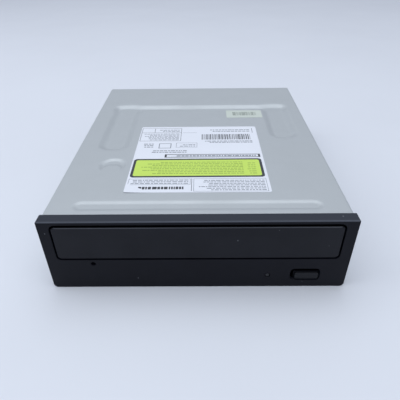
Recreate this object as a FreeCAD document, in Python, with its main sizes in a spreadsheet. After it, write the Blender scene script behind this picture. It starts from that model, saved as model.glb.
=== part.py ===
"""Internal blu-ray drive, 5.25 inch half-height: steel case, loader, disc tray, traverse and boards.

Frame: X to the right as seen from the front, Y to the rear, Z up, millimetres. The origin is the middle
of the drive's footprint at the height of its lowest face. Depths in the size table are measured from the
front face of the bezel, because everything in such a drive is set out from there.
"""
import FreeCAD, Part
import math
import os
import Sketcher
from FreeCAD import Placement, Rotation, Vector

DOC = FreeCAD.newDocument("BlurayDrive")
SHEET = DOC.addObject("Spreadsheet::Sheet", "Sizes")

SIZES = {
    # Whole drive and steel case
    "Depth": 180.0, "CaseWidth": 146.0, "CaseHeight": 41.3, "Sheet": 0.8, "CaseBend": 1.2,
    "BezelDepth": 5.8, "BezelSide": 1.0, "BezelLip": 0.5, "Slip": 0.1,
    # Top cover and what is pressed into it
    "RearSplit": 15.5, "SplitGap": 0.5,
    "BeadSide": 12.7, "BeadFront": 10.3, "BeadWidth": 8.3, "BeadDeep": 0.8, "BeadSlope": 45.0,
    "ArmSideLeft": 10.0, "ArmSideRight": 9.0, "ArmInnerSide": 27.6, "ArmFrontLeft": 71.0,
    "ArmFrontRight": 85.5, "BarFront": 133.4, "BarBack": 142.0, "ArmDeep": 1.5, "ArmSlope": 2.6,
    "ArmEndRound": 8.5, "ArmInnerRound": 7.0, "ArmOuterRound": 9.0,
    "DimpleSide": 24.9, "DimpleDepth": 52.6, "DimpleRound": 7.7, "DimpleBite": 5.2, "DimpleBiteShift": 4.9,
    "DimpleDeep": 0.7, "DimpleWall": 0.5,
    # Screw holes that hold the drive in a bay
    "MountHole": 1.5, "MountCollar": 2.3, "MountCollarDeep": 1.2, "MountFirst": 47.4, "MountPitch": 79.25,
    "MountLow": 10.0, "MountRise": 11.84, "BottomMountSide": 3.15,
    # Bottom cover
    "DishRound": 4.0, "DishDeep": 1.0, "CoverScrewSide": 11.0, "CoverScrewFront": 20.0,
    "CoverScrewBack": 10.0, "CoverScrewRound": 1.3, "CoverHeadRound": 2.7, "CoverHeadThick": 0.7,
    "CoverScrewReach": 6.0, "FloorBeadX": 30.0, "FloorBeadWidth": 8.0, "FloorBeadFront": 50.0,
    "FloorBeadGap": 5.0, "FloorBeadDeep": 0.6,
    # Front bezel, door, button and light
    "BezelPlate": 2.2, "BezelRim": 1.5, "BezelLowRound": 2.2, "BezelHighRound": 0.8, "BezelEdge": 0.4,
    "DoorSide": 4.9, "DoorBase": 19.3, "DoorHeight": 20.7, "DoorRound": 3.6, "DoorGap": 0.4,
    "DoorThick": 2.6, "DoorEdge": 0.45, "DoorRibThick": 1.2, "DoorRibHeight": 8.0, "DoorRibX": 52.0,
    "DoorRibNear": 17.3,
    "PinholeSide": 22.7, "PinholeHeight": 16.3, "PinholeRound": 0.9,
    "LightPitch": 19.8, "LightHeight": 8.2, "LightRound": 1.3, "LightGap": 0.1, "LightRecess": 0.15,
    "LightWay": 0.3,
    "ButtonSide": 19.6, "ButtonWidth": 12.1, "ButtonBase": 4.7, "ButtonHeight": 4.7, "ButtonGap": 0.12,
    "ButtonRecess": 0.5, "ButtonRound": 0.9, "ButtonBody": 2.0, "ButtonFlange": 0.9,
    "ButtonFlangeThick": 0.8, "ButtonStemWidth": 2.4, "ButtonTravel": 0.8,
    "ScoopWidth": 15.0, "ScoopHeight": 7.8, "ScoopRound": 2.4, "ScoopDeep": 1.4, "ScoopSlope": 0.5,
    "ScoopShift": 1.1,
    "HookInset": 0.3, "HookThick": 1.7, "HookHeight": 6.0, "HookReach": 8.0, "HookLow": 10.0,
    "HookHigh": 26.0, "TongueHalf": 12.0, "TongueX": 34.0, "TongueThick": 1.0, "TongueReach": 1.9,
    # Disc tray
    "TrayFront": 6.6, "TrayRear": 12.0, "TraySide": 7.5, "TrayTop": 30.0, "TrayUnder": 24.6,
    "TrayRound": 3.0, "SpindleDepth": 74.0, "DiscPocketRound": 61.0, "DiscPocketFloor": 27.3,
    "SmallPocketRound": 41.0, "SmallPocketFloor": 26.1, "SlotHalf": 24.0, "SlotShift": 4.0,
    "RailWidth": 3.5, "RailFoot": 22.0, "RackSide": 10.0, "RackWidth": 3.9, "RackFoot": 21.6,
    "ThumbNotch": 12.0, "ThumbNotchX": 44.0, "ThumbNotchRear": 30.0, "RetainerHalf": 5.0,
    "RetainerWidth": 2.2,
    # Loader frame
    "FrameSide": 4.8, "FrameWall": 2.0, "FrameFront": 8.0, "FrameRear": 8.0, "FrameTop": 31.5,
    "FrameLift": 0.1, "LedgeTop": 21.7, "LedgeWidth": 5.7, "DeckTop": 21.4, "DeckThick": 1.8,
    "DeckWidth": 9.2, "DeckLip": 1.3, "WellShift": 2.0, "FrontBeam": 4.0,
    "FrontBeamTop": 18.0, "MotorDeckTop": 14.8, "MotorDeckThick": 1.5,
    "TabWidth": 2.7, "TabUnder": 30.4, "TabLength": 10.0, "TabFirst": 12.0, "TabRear": 20.0,
    "BridgeReach": 16.0, "BridgeSeat": 36.0, "BridgePostWidth": 4.7,
    "ScrewColumn": 3.2, "RearBeam": 4.0, "RearBeamBase": 14.2, "PinWay": 1.4,
    "FrameWindowBase": 5.0, "FrameWindowTop": 17.0, "FrameWindowLength": 16.0, "FrameWindowPitch": 30.0,
    "FrameWindowFirst": 50.0, "FrameWindowCount": 3, "BoardLugLength": 6.0,
    "BoardLugWidth": 8.0, "BoardLugThick": 2.6,
    # Clamper and its bridge
    "BridgeThick": 1.2, "BridgeHole": 12.5, "BridgeScrewSide": 2.4, "BridgeScrewInset": 4.0,
    "BridgeScrewRound": 1.1, "BridgeHeadRound": 2.1, "BridgeHeadThick": 1.2, "BridgeScrewReach": 4.0,
    "BridgeFlange": 3.0, "BridgeFlangeHalf": 40.0,
    "ClamperDisk": 16.0, "ClamperUnder": 29.2, "ClamperDiskThick": 2.6, "ClamperNeck": 11.0,
    "ClamperFlange": 14.0, "ClamperFlangeThick": 1.2, "ClamperGap": 0.4, "ClamperRecess": 8.2,
    "ClamperRecessDeep": 1.7, "YokeRound": 9.0, "YokeBore": 3.0, "YokeThick": 1.0,
    # Loading motor, belt and gear train
    "GearDepth": 27.0, "MotorPitch": 30.0, "MotorRound": 12.0, "MotorBase": 1.9, "MotorHeight": 11.4,
    "MotorBoss": 3.2, "ShaftRound": 1.0, "MotorPulley": 3.0, "BeltPulley": 12.0,
    "PulleyBase": 15.1, "PulleyHeight": 2.4, "PulleyLip": 0.8, "PulleyLipThick": 0.5, "Belt": 1.2,
    "BeltGap": 0.05, "LevelGap": 0.3, "MidGearHeight": 2.6, "TopGearHeight": 3.4,
    "MidModule": 0.7, "BeltGearTeeth": 12, "IdlerBigTeeth": 36, "TopModule": 0.8,
    "IdlerSmallTeeth": 14, "DriveTeeth": 24, "PressureAngle": 25.0, "Addendum": 0.9, "Dedendum": 1.15,
    "ToothPlay": 0.08, "PostRound": 1.5, "PostGap": 0.05, "PostBoss": 3.0, "DrivePostRound": 1.0,
    # Cam slider
    "SliderShift": 14.0, "SliderThick": 5.0, "SliderEnd": 9.2, "SliderRight": 30.0, "SliderBase": 4.6,
    "SliderTop": 16.9, "SliderTravel": 16.0, "SliderRun": 0.3, "ChannelThick": 1.4, "CamPlay": 0.25,
    "SliderRound": 0.45,
    # Traverse
    "PivotRear": 17.0, "PivotHeight": 14.0, "TrunnionRound": 2.0, "TrunnionGap": 0.05,
    "TraverseDrop": 5.42, "PivotHalf": 44.0, "PivotWall": 4.0, "PivotGap": 1.5, "PivotTail": 3.0,
    "PivotBase": 9.5, "PivotTop": 17.0, "BearingInner": 45.2, "BearingThick": 3.0, "BearingHalf": 4.5,
    "LiftPinX": 18.0, "LiftPinHeight": 12.8, "LiftPinRound": 1.25, "BossX": 35.5, "BossInset": 8.5,
    "BossTail": 4.0, "BossRound": 5.0, "BossTop": 13.0, "BushRound": 4.5, "BushTop": 19.0,
    "BushWaist": 3.0, "BushBore": 1.5, "DamperHeadRound": 3.6, "DamperHeadThick": 1.4,
    "DamperScrewReach": 3.0,
    "BaseHalf": 38.0, "BaseInset": 4.5, "BaseTail": 5.0, "BaseUnder": 15.4, "BaseThick": 1.2,
    "SledWayHalf": 26.0, "SledWayTail": 2.0, "FeedNotchGap": 2.0, "FeedNotchInner": 29.0,
    # Spindle motor and turntable
    "MotorPlateRound": 14.0, "MotorPlateThick": 1.0, "SleeveRound": 4.0, "SleeveBase": 11.0,
    "SpindleRound": 1.5, "SpindleGap": 0.05, "CanRound": 12.5, "CanBase": 17.2, "CanTop": 24.0,
    "CanWall": 1.0, "StatorRound": 10.8, "StatorTop": 21.6, "StatorSlots": 9, "TurntableRound": 15.0,
    "SeatHeight": 28.2,
    "HubRound": 7.4, "HubTip": 5.6, "HubTop": 30.4, "RingInner": 11.2, "RingOuter": 14.6,
    "RingRise": 0.5, "RingSink": 0.6, "MagnetRound": 4.2, "MagnetThick": 1.6,
    # Pickup, rods and feed screw
    "RodX": 27.5, "RodHeight": 13.0, "RodRound": 1.5, "RodShift": 4.0, "RodTail": 0.5, "RodGap": 0.05,
    "ClampThick": 2.4, "ClampHalf": 2.3, "ClampBase": 10.6, "LensShift": 23.0, "SledAhead": 8.0,
    "SledBehind": 20.0, "SledHalf": 23.6, "SledBase": 10.5, "SledTop": 20.6, "SledFloor": 1.4,
    "SledWall": 1.6, "EarOuter": 30.4, "EarBase": 10.8, "EarTop": 15.0, "EarLength": 6.0,
    "ScrewX": 34.2, "ScrewRound": 1.5, "ScrewTail": 12.0, "ScrewEnd": 1.0,
    "FeedMotorRound": 4.3, "FeedShift": 10.0, "FeedMotorLength": 14.0,
    "NutGap": 0.1, "NutHeight": 3.0, "ScrewBearing": 2.0, "ScrewBearingHalf": 2.6,
    "PickupLid": 0.5, "HeadHalf": 12.0, "HeadHalfDepth": 6.3, "HeadTop": 26.2,
    "HolderHalf": 5.2, "HolderHalfDepth": 4.4, "HolderBase": 22.4, "HolderTop": 27.0,
    "HolderRound": 1.2, "LensRound": 2.2, "LensPitch": 4.8, "LensProud": 0.4, "LensBore": 1.6,
    "LaserHalf": 4.0, "LaserLength": 7.0, "LaserHeight": 4.4, "FocusTravel": 0.5, "YokeGap": 0.25,
    # Boards, connector and ribbons
    "BoardThick": 1.2, "BoardBase": 4.2, "BoardPlay": 0.4, "BoardLength": 78.0, "BoardBackInset": 2.0,
    "BoardNotch": 3.7, "ChipThick": 1.6, "BigChip": 17.0, "SmallChip": 9.0, "ChipRow": 28.0,
    "ChipX": 22.0, "CapRound": 2.5, "CapHeight": 4.0, "CapSide": 7.8, "CapRow": 20.0,
    "CapPitch": 8.0, "CapCount": 4,
    "PlugSide": 34.2, "PlugWidth": 44.0, "PlugHeight": 8.0, "PlugDepth": 12.0, "PlugWall": 1.2,
    "PlugCavity": 8.0, "PlugSplit": 1.6, "DataWidth": 12.6, "TongueBoard": 1.2, "PlugOpening": 0.5,
    "ContactWidth": 0.6, "ContactPitch": 1.27, "ContactThick": 0.15, "DataContacts": 7,
    "PowerContacts": 15,
    "FrontBoardLeft": 1.9, "FrontBoardRight": 3.1, "FrontBoardFront": 14.0, "FrontBoardBack": 34.0,
    "FrontBoardBase": 3.0, "FrontBoardThick": 1.0, "FrontPostShift": 10.4, "FrontPostDepth": 29.0,
    "FrontPostRound": 2.2, "SwitchHalf": 3.0, "SwitchFront": 15.0, "SwitchDepth": 6.0,
    "SwitchHeight": 4.6, "PlungerRound": 1.0, "PlungerReach": 1.2, "PlungerSink": 1.5,
    "PlungerGap": 0.15, "LedHalf": 1.2, "LedHeight": 2.0, "LedFront": 14.6, "LedDepth": 2.6,
    "PipeGap": 0.1, "RibbonWidth": 8.0, "RibbonThick": 0.3, "RibbonBase": 1.7,
    "SocketDepth": 3.4, "FlexWidth": 16.0, "FlexX": 10.0, "FlexThick": 0.2, "FlexShare": 0.52,
    # Labels
    "LabelLeft": 37.6, "LabelRight": 37.5, "LabelFront": 24.4, "LabelLength": 78.6, "LabelThick": 0.12,
    "LabelRound": 1.0, "StickerLeft": 19.4, "StickerWidth": 25.1, "StickerFront": 118.0,
    "StickerLength": 13.0,
}


class Size:
    """A length with the sheet formula that gives it, so one formula serves features and shapes alike."""

    def __init__(self, value, formula):
        self.value = value
        self.formula = formula

    def _with(self, other, sign, swap=False):
        other = as_size(other)
        left, right = (other, self) if swap else (self, other)
        worth = {"+": left.value + right.value, "-": left.value - right.value,
                 "*": left.value * right.value, "/": left.value / (right.value or 1.0)}[sign]
        return Size(worth, f"({left.formula} {sign} {right.formula})")

    def __add__(self, other):
        return self._with(other, "+")

    def __radd__(self, other):
        return self._with(other, "+", swap=True)

    def __sub__(self, other):
        return self._with(other, "-")

    def __rsub__(self, other):
        return self._with(other, "-", swap=True)

    def __mul__(self, other):
        return self._with(other, "*")

    def __rmul__(self, other):
        return self._with(other, "*", swap=True)

    def __truediv__(self, other):
        return self._with(other, "/")

    def __neg__(self):
        return self._with(-1, "*")


class Drive:
    """Every cell of the size sheet under its own name, as a Size."""


def as_size(number):
    """A plain number as a Size."""
    return number if isinstance(number, Size) else Size(float(number), f"{float(number):.6g}")


def fill_sheet():
    """Write each size into the sheet with its name, and give them back as one object."""
    sizes = Drive()
    for row, (name, number) in enumerate(SIZES.items(), start=1):
        SHEET.set(f"A{row}", str(number))
        SHEET.setAlias(f"A{row}", name)
        setattr(sizes, name, Size(float(number), f"Sizes.{name}"))
    DOC.recompute()
    return sizes


S = fill_sheet()
NODES = []

CASE_BASE = S.BezelLip
CASE_TOP = CASE_BASE + S.CaseHeight
CASE_HALF = S.CaseWidth / 2
FLOOR_TOP = CASE_BASE + S.Sheet
ROOF_UNDER = CASE_TOP - S.Sheet
BEZEL_TOP = CASE_TOP + S.BezelLip
BEZEL_HALF = CASE_HALF + S.BezelSide
DOOR_HALF = CASE_HALF - S.DoorSide
BUTTON_X = BEZEL_HALF - S.ButtonSide
LIGHT_X = BUTTON_X - S.LightPitch
PINHOLE_X = BEZEL_HALF - S.PinholeSide
FRONT_POST_X = BUTTON_X - S.FrontPostShift
TRAY_HALF = CASE_HALF - S.TraySide
TRAY_BACK = S.Depth - S.TrayRear
FRAME_OUTER = CASE_HALF - S.FrameSide
FRAME_INNER = FRAME_OUTER - S.FrameWall
FRAME_BACK = S.Depth - S.FrameRear
BRIDGE_FRONT = S.SpindleDepth - S.BridgeReach
BRIDGE_BACK = S.SpindleDepth + S.BridgeReach
SLIDER_FRONT = S.GearDepth + S.SliderShift
SLIDER_LEFT = FRAME_INNER - S.SliderEnd
WELL_FRONT = SLIDER_FRONT + S.WellShift
PIVOT_FRONT = SLIDER_FRONT + S.SliderThick + S.PivotGap
PIVOT_DEPTH = S.Depth - S.PivotRear
BASE_BACK = PIVOT_DEPTH - S.BaseTail
BOSS_FRONT = PIVOT_FRONT + S.BossInset
FEED_FRONT = BOSS_FRONT + S.FeedShift
SCREW_BACK = BASE_BACK - S.ScrewTail
ROD_FRONT = S.SpindleDepth + S.RodShift
ROD_BACK = BASE_BACK - S.RodTail
LENS_DEPTH = S.SpindleDepth + S.LensShift
SLED_FRONT = LENS_DEPTH - S.SledAhead
SLED_BACK = LENS_DEPTH + S.SledBehind
BOARD_HALF = FRAME_INNER - S.BoardPlay
BOARD_BACK = S.Depth - S.BoardBackInset
BOARD_FRONT = BOARD_BACK - S.BoardLength
UP, LEFTWARD, REARWARD = Vector(0, 0, 1), Vector(1, 0, 0), Vector(0, 1, 0)
PAST = 1.0


def rearwards(depth):
    """The Y of something that lies this far behind the front face."""
    return depth - S.Depth / 2


def bind(thing, name, size):
    """Tie one property of an object to the sheet."""
    thing.setExpression(name, as_size(size).formula)


def place(thing, x=0, y=0, z=0):
    """Tie an object's place to the sheet."""
    for axis, size in (("x", x), ("y", y), ("z", z)):
        bind(thing, f"Placement.Base.{axis}", size)


def block(x, y, z):
    """A box between a low and a high size along each axis."""
    box = DOC.addObject("Part::Box", "Block")
    for name, (low, high) in (("Length", x), ("Width", y), ("Height", z)):
        bind(box, name, as_size(high) - low)
    place(box, x[0], y[0], z[0])
    return box


def rod(radius, start, length, along=UP, x=0, y=0, z=0):
    """A cylinder that starts at a size along one axis, with its line at x, y, z."""
    cylinder = DOC.addObject("Part::Cylinder", "Rod")
    bind(cylinder, "Radius", radius)
    bind(cylinder, "Height", length)
    cylinder.Placement = Placement(Vector(), Rotation(UP, along))
    if along == UP:
        place(cylinder, x, y, start)
    elif along == REARWARD:
        place(cylinder, x, start, z)
    else:
        place(cylinder, start, y, z)
    return cylinder


def cone(low_radius, high_radius, start, height, x=0, y=0):
    """An upright cone frustum."""
    frustum = DOC.addObject("Part::Cone", "Taper")
    bind(frustum, "Radius1", low_radius)
    bind(frustum, "Radius2", high_radius)
    bind(frustum, "Height", height)
    place(frustum, x, y, start)
    return frustum


def fuse(*pieces):
    """One solid from several that touch."""
    if len(pieces) == 1:
        return pieces[0]
    joined = DOC.addObject("Part::MultiFuse", "Joined")
    joined.Shapes = list(pieces)
    joined.Refine = True
    return joined


def cut(base, *tools):
    """A solid with others taken out of it."""
    rest = DOC.addObject("Part::Cut", "Remainder")
    rest.Base = base
    rest.Tool = fuse(*tools)
    rest.Refine = True
    return rest


def group(*pieces):
    """Separate solids that make up one node."""
    together = DOC.addObject("Part::Compound", "Together")
    together.Links = list(pieces)
    return together


def node(name, piece):
    """Name a finished sub-part and keep it for writing out."""
    piece.Label = name
    NODES.append(piece)
    return piece


def solid_of(shape):
    """An object that holds a shape worked out from the sizes."""
    holder = DOC.addObject("Part::Feature", "Worked")
    holder.Shape = shape
    return holder


def across(side, near, far):
    """The low and high X of something between two distances from the middle, on one side."""
    return (side * near, side * far) if side > 0 else (side * far, side * near)


def corner_round(points, index):
    """Where the round at one corner of an outline starts and ends, and its centre."""
    here = Vector(points[index][0].value, points[index][1].value, 0)
    before = Vector(points[index - 1][0].value, points[index - 1][1].value, 0)
    after_point = points[(index + 1) % len(points)]
    after = Vector(after_point[0].value, after_point[1].value, 0)
    radius = points[index][2].value
    back, ahead = (before - here).normalize(), (after - here).normalize()
    half = back.getAngle(ahead) / 2
    reach = radius / math.tan(half)
    middle = (back + ahead).normalize()
    return here + back * reach, here + ahead * reach, here + middle * (radius / math.sin(half))


def outline(body, plane, height, corners):
    """A closed sketch of straight sides, each corner given as x, y and an optional round, all bound."""
    sketch = body.newObject("Sketcher::SketchObject", "Outline")
    origin = [part for part in body.Origin.OriginFeatures if part.Role == plane][0]
    sketch.AttachmentSupport = [(origin, "")]
    sketch.MapMode = "FlatFace"
    bind(sketch, "AttachmentOffset.Base.z", height)
    points = [(as_size(c[0]), as_size(c[1]), as_size(c[2]) if len(c) > 2 else None) for c in corners]
    count = len(points)
    starts, ends, centres = [], [], []
    for index, (x, y, radius) in enumerate(points):
        if radius is None:
            starts.append(Vector(x.value, y.value, 0))
            ends.append(starts[-1])
            centres.append(None)
            continue
        first, last, centre = corner_round(points, index)
        starts.append(first)
        ends.append(last)
        centres.append(centre)
    for index in range(count):
        sketch.addGeometry(Part.LineSegment(ends[index], starts[(index + 1) % count]), False)
    for index, (x, y, radius) in enumerate(points):
        line_in, line_out = (index - 1) % count, index
        if radius is None:
            sketch.addConstraint(Sketcher.Constraint("Coincident", line_in, 2, line_out, 1))
            pin_point(sketch, line_out, 1, x, y)
            continue
        round_corner(sketch, line_in, line_out, starts[index], ends[index], centres[index], radius)
        corner = sketch.addGeometry(Part.Point(Vector(x.value, y.value, 0)), True)
        sketch.addConstraint(Sketcher.Constraint("PointOnObject", corner, 1, line_in))
        sketch.addConstraint(Sketcher.Constraint("PointOnObject", corner, 1, line_out))
        pin_point(sketch, corner, 1, x, y)
    return sketch


def pin_point(sketch, item, end, x, y):
    """Hold one point of a sketch at bound distances from its origin."""
    for kind, size in (("DistanceX", x), ("DistanceY", y)):
        index = sketch.addConstraint(Sketcher.Constraint(kind, -1, 1, item, end, size.value))
        sketch.setExpression(f"Constraints[{index}]", size.formula)


def round_corner(sketch, line_in, line_out, start, end, centre, radius):
    """Join two lines of a sketch with a tangent arc of bound radius."""
    turn = (centre - start).cross(end - start).z
    circle = Part.Circle(centre, UP, radius.value)
    first = math.atan2(start.y - centre.y, start.x - centre.x)
    last = math.atan2(end.y - centre.y, end.x - centre.x)
    turns_right = turn > 0
    span = (last, first) if turns_right else (first, last)
    arc = sketch.addGeometry(Part.ArcOfCircle(circle, *span), False)
    at_start, at_end = (2, 1) if turns_right else (1, 2)
    sketch.addConstraint(Sketcher.Constraint("Tangent", line_in, 2, arc, at_start))
    sketch.addConstraint(Sketcher.Constraint("Tangent", arc, at_end, line_out, 1))
    index = sketch.addConstraint(Sketcher.Constraint("Radius", arc, radius.value))
    sketch.setExpression(f"Constraints[{index}]", radius.formula)


def circles(body, plane, height, places):
    """A sketch of full circles, each given as x, y and radius, all bound."""
    sketch = body.newObject("Sketcher::SketchObject", "Circles")
    origin = [part for part in body.Origin.OriginFeatures if part.Role == plane][0]
    sketch.AttachmentSupport = [(origin, "")]
    sketch.MapMode = "FlatFace"
    bind(sketch, "AttachmentOffset.Base.z", height)
    for place_of_one in places:
        x, y, radius = (as_size(number) for number in place_of_one)
        ring = sketch.addGeometry(Part.Circle(Vector(x.value, y.value, 0), UP, radius.value), False)
        pin_point(sketch, ring, 3, x, y)
        index = sketch.addConstraint(Sketcher.Constraint("Radius", ring, radius.value))
        sketch.setExpression(f"Constraints[{index}]", radius.formula)
    return sketch


def stadium(body, height, x, y, along_x):
    """A level sketch of a slot with full half-round ends, its centre line along X or Y."""
    sketch = body.newObject("Sketcher::SketchObject", "Stadium")
    origin = [part for part in body.Origin.OriginFeatures if part.Role == "XY_Plane"][0]
    sketch.AttachmentSupport = [(origin, "")]
    sketch.MapMode = "FlatFace"
    bind(sketch, "AttachmentOffset.Base.z", height)
    (left, right), (front, back) = x, y
    radius = (back - front) / 2 if along_x else (right - left) / 2
    if along_x:
        ends = ((right - radius, front + radius), (left + radius, front + radius))
        turn = -math.pi / 2
    else:
        ends = ((right - radius, back - radius), (right - radius, front + radius))
        turn = 0.0
    centres = [Vector(end_x.value, end_y.value, 0) for end_x, end_y in ends]
    for index, centre in enumerate(centres):
        circle = Part.Circle(centre, UP, radius.value)
        first = turn + index * math.pi
        arc = sketch.addGeometry(Part.ArcOfCircle(circle, first, first + math.pi), False)
        pin_point(sketch, arc, 3, *ends[index])
        radius_index = sketch.addConstraint(Sketcher.Constraint("Radius", arc, radius.value))
        sketch.setExpression(f"Constraints[{radius_index}]", radius.formula)
    reach = Vector(math.cos(turn), math.sin(turn), 0) * radius.value
    for start, stop, arc_from, arc_to in ((centres[0] - reach, centres[1] - reach, 0, 1),
                                          (centres[1] + reach, centres[0] + reach, 1, 0)):
        line = sketch.addGeometry(Part.LineSegment(start, stop), False)
        sketch.addConstraint(Sketcher.Constraint("Tangent", arc_from, 2, line, 1))
        sketch.addConstraint(Sketcher.Constraint("Tangent", line, 2, arc_to, 1))
    return sketch


def oblong(x, y, radius=None):
    """The four corners of an oblong between two sizes each way, rounded when a radius is given."""
    corners = [(x[0], y[0]), (x[1], y[0]), (x[1], y[1]), (x[0], y[1])]
    return corners if radius is None else [corner + (radius,) for corner in corners]


def new_body(name):
    """An empty body."""
    return DOC.addObject("PartDesign::Body", name)


def pad(body, sketch, length, towards_plus=True, slope=None):
    """Add the sketch's area to the body over a length; a slope in degrees narrows it as it goes."""
    feature = body.newObject("PartDesign::Pad", "Pad")
    feature.Profile = sketch
    bind(feature, "Length", length)
    feature.Reversed = not towards_plus
    if slope is not None:
        bind(feature, "TaperAngle", -as_size(slope))
    sketch.Visibility = False
    body.Tip = feature
    return feature


def pocket(body, sketch, length, towards_plus=False, slope=None):
    """Take the sketch's area out of the body over a length; a slope in degrees narrows it as it goes."""
    feature = body.newObject("PartDesign::Pocket", "Pocket")
    feature.Profile = sketch
    bind(feature, "Length", length)
    feature.Reversed = towards_plus
    if slope is not None:
        bind(feature, "TaperAngle", -as_size(slope))
    body.Tip = feature
    return feature


def inset(corners, amount):
    """An outline, given anticlockwise, moved inwards all round, its rounds kept concentric."""
    moved = []
    count = len(corners)
    for index, (x, y, radius) in enumerate(corners):
        before, after = corners[index - 1], corners[(index + 1) % count]
        into = sign_of(x, before[0]), sign_of(y, before[1])
        out = sign_of(after[0], x), sign_of(after[1], y)
        turn = into[0] * out[1] - into[1] * out[0]
        moved.append((x + amount * (-into[1] - out[1]), y + amount * (into[0] + out[0]),
                      radius - amount * turn))
    return moved


def sign_of(here, there):
    """Which way a coordinate goes from there to here: -1, 0 or 1."""
    step = as_size(here).value - as_size(there).value
    return (step > 1e-9) - (step < -1e-9)


def loft(body, kind, first, second):
    """Add or take out the straight-walled form between two sketches of the same kind."""
    feature = body.newObject(f"PartDesign::{kind}Loft", "Loft")
    feature.Profile = first
    feature.Sections = [second]
    feature.Ruled = True
    body.Tip = feature
    return feature


def break_edges(body, kind, size, picks):
    """Round or chamfer the edges of a body's last feature that picks(edge) says."""
    DOC.recompute()
    last = body.Tip
    names = [f"Edge{i}" for i, edge in enumerate(last.Shape.Edges, start=1) if picks(edge)]
    feature = body.newObject(f"PartDesign::{kind}", kind)
    feature.Base = (last, names)
    bind(feature, "Radius" if kind == "Fillet" else "Size", size)
    body.Tip = feature
    return feature


def plate(name, x, y, z, radius):
    """A flat plate with rounded corners, its outline seen from above."""
    body = new_body(name)
    pad(body, outline(body, "XY_Plane", z[0], oblong(x, y, radius)), as_size(z[1]) - z[0])
    return body


def facing(body, depth, corners):
    """A sketch that faces the front, at a depth behind the front face."""
    return outline(body, "XZ_Plane", -rearwards(depth), corners)


def facing_circles(body, depth, places):
    """Full circles that face the front, at a depth behind the front face."""
    return circles(body, "XZ_Plane", -rearwards(depth), places)


def press(body, sketch_at, face, deep, slope):
    """Press sketch_at(height) down into a sheet whose upper face is given, keeping its thickness."""
    pad(body, sketch_at(as_size(face) - S.Sheet), deep, towards_plus=False, slope=slope)
    pocket(body, sketch_at(face), deep, slope=slope)


def mount_depths():
    """How far behind the front face the two rows of bay screws lie."""
    first = S.BezelDepth + S.MountFirst
    return first, first + S.MountPitch


def mount_heights():
    """The heights of the lower and upper side screws."""
    low = CASE_BASE + S.MountLow
    return low, low + S.MountRise


def arm_corners():
    """The pressed U, open to the front, as seen from above."""
    left, right = S.ArmSideLeft - CASE_HALF, CASE_HALF - S.ArmSideRight
    inner = CASE_HALF - S.ArmInnerSide
    back, bar = rearwards(S.BarBack), rearwards(S.BarFront)
    left_end, right_end = rearwards(S.ArmFrontLeft), rearwards(S.ArmFrontRight)
    end = S.ArmEndRound
    return [(left, left_end, end), (-inner, left_end, end), (-inner, bar, S.ArmInnerRound),
            (inner, bar, S.ArmInnerRound), (inner, right_end, end), (right, right_end, end),
            (right, back, S.ArmOuterRound), (left, back, S.ArmOuterRound)]


def crescent(body, height, grow):
    """A crescent open to the front: a circle bitten by a smaller one, both from the same centre line."""
    middle_y = rearwards(S.DimpleDepth)
    outer, inner = S.DimpleRound + grow, S.DimpleBite - grow
    bite_y = middle_y - S.DimpleBiteShift
    shift = S.DimpleBiteShift.value
    reach = (shift ** 2 + outer.value ** 2 - inner.value ** 2) / (2 * shift)
    half = math.sqrt(outer.value ** 2 - reach ** 2)
    middle_x = S.DimpleSide - CASE_HALF
    x, y = middle_x.value, middle_y.value
    tip_right, tip_left = Vector(x + half, y - reach, 0), Vector(x - half, y - reach, 0)
    sketch = body.newObject("Sketcher::SketchObject", "Crescent")
    origin = [part for part in body.Origin.OriginFeatures if part.Role == "XY_Plane"][0]
    sketch.AttachmentSupport = [(origin, "")]
    sketch.MapMode = "FlatFace"
    bind(sketch, "AttachmentOffset.Base.z", height)
    for centre_y, radius in ((middle_y, outer), (bite_y, inner)):
        centre = Vector(x, centre_y.value, 0)
        first = math.atan2(tip_right.y - centre.y, half)
        last = math.atan2(tip_left.y - centre.y, -half) % math.tau
        circle = Part.Circle(centre, UP, radius.value)
        arc = sketch.addGeometry(Part.ArcOfCircle(circle, first, last), False)
        pin_point(sketch, arc, 3, middle_x, centre_y)
        index = sketch.addConstraint(Sketcher.Constraint("Radius", arc, radius.value))
        sketch.setExpression(f"Constraints[{index}]", radius.formula)
    sketch.addConstraint(Sketcher.Constraint("Coincident", 0, 1, 1, 1))
    sketch.addConstraint(Sketcher.Constraint("Coincident", 0, 2, 1, 2))
    return sketch


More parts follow.
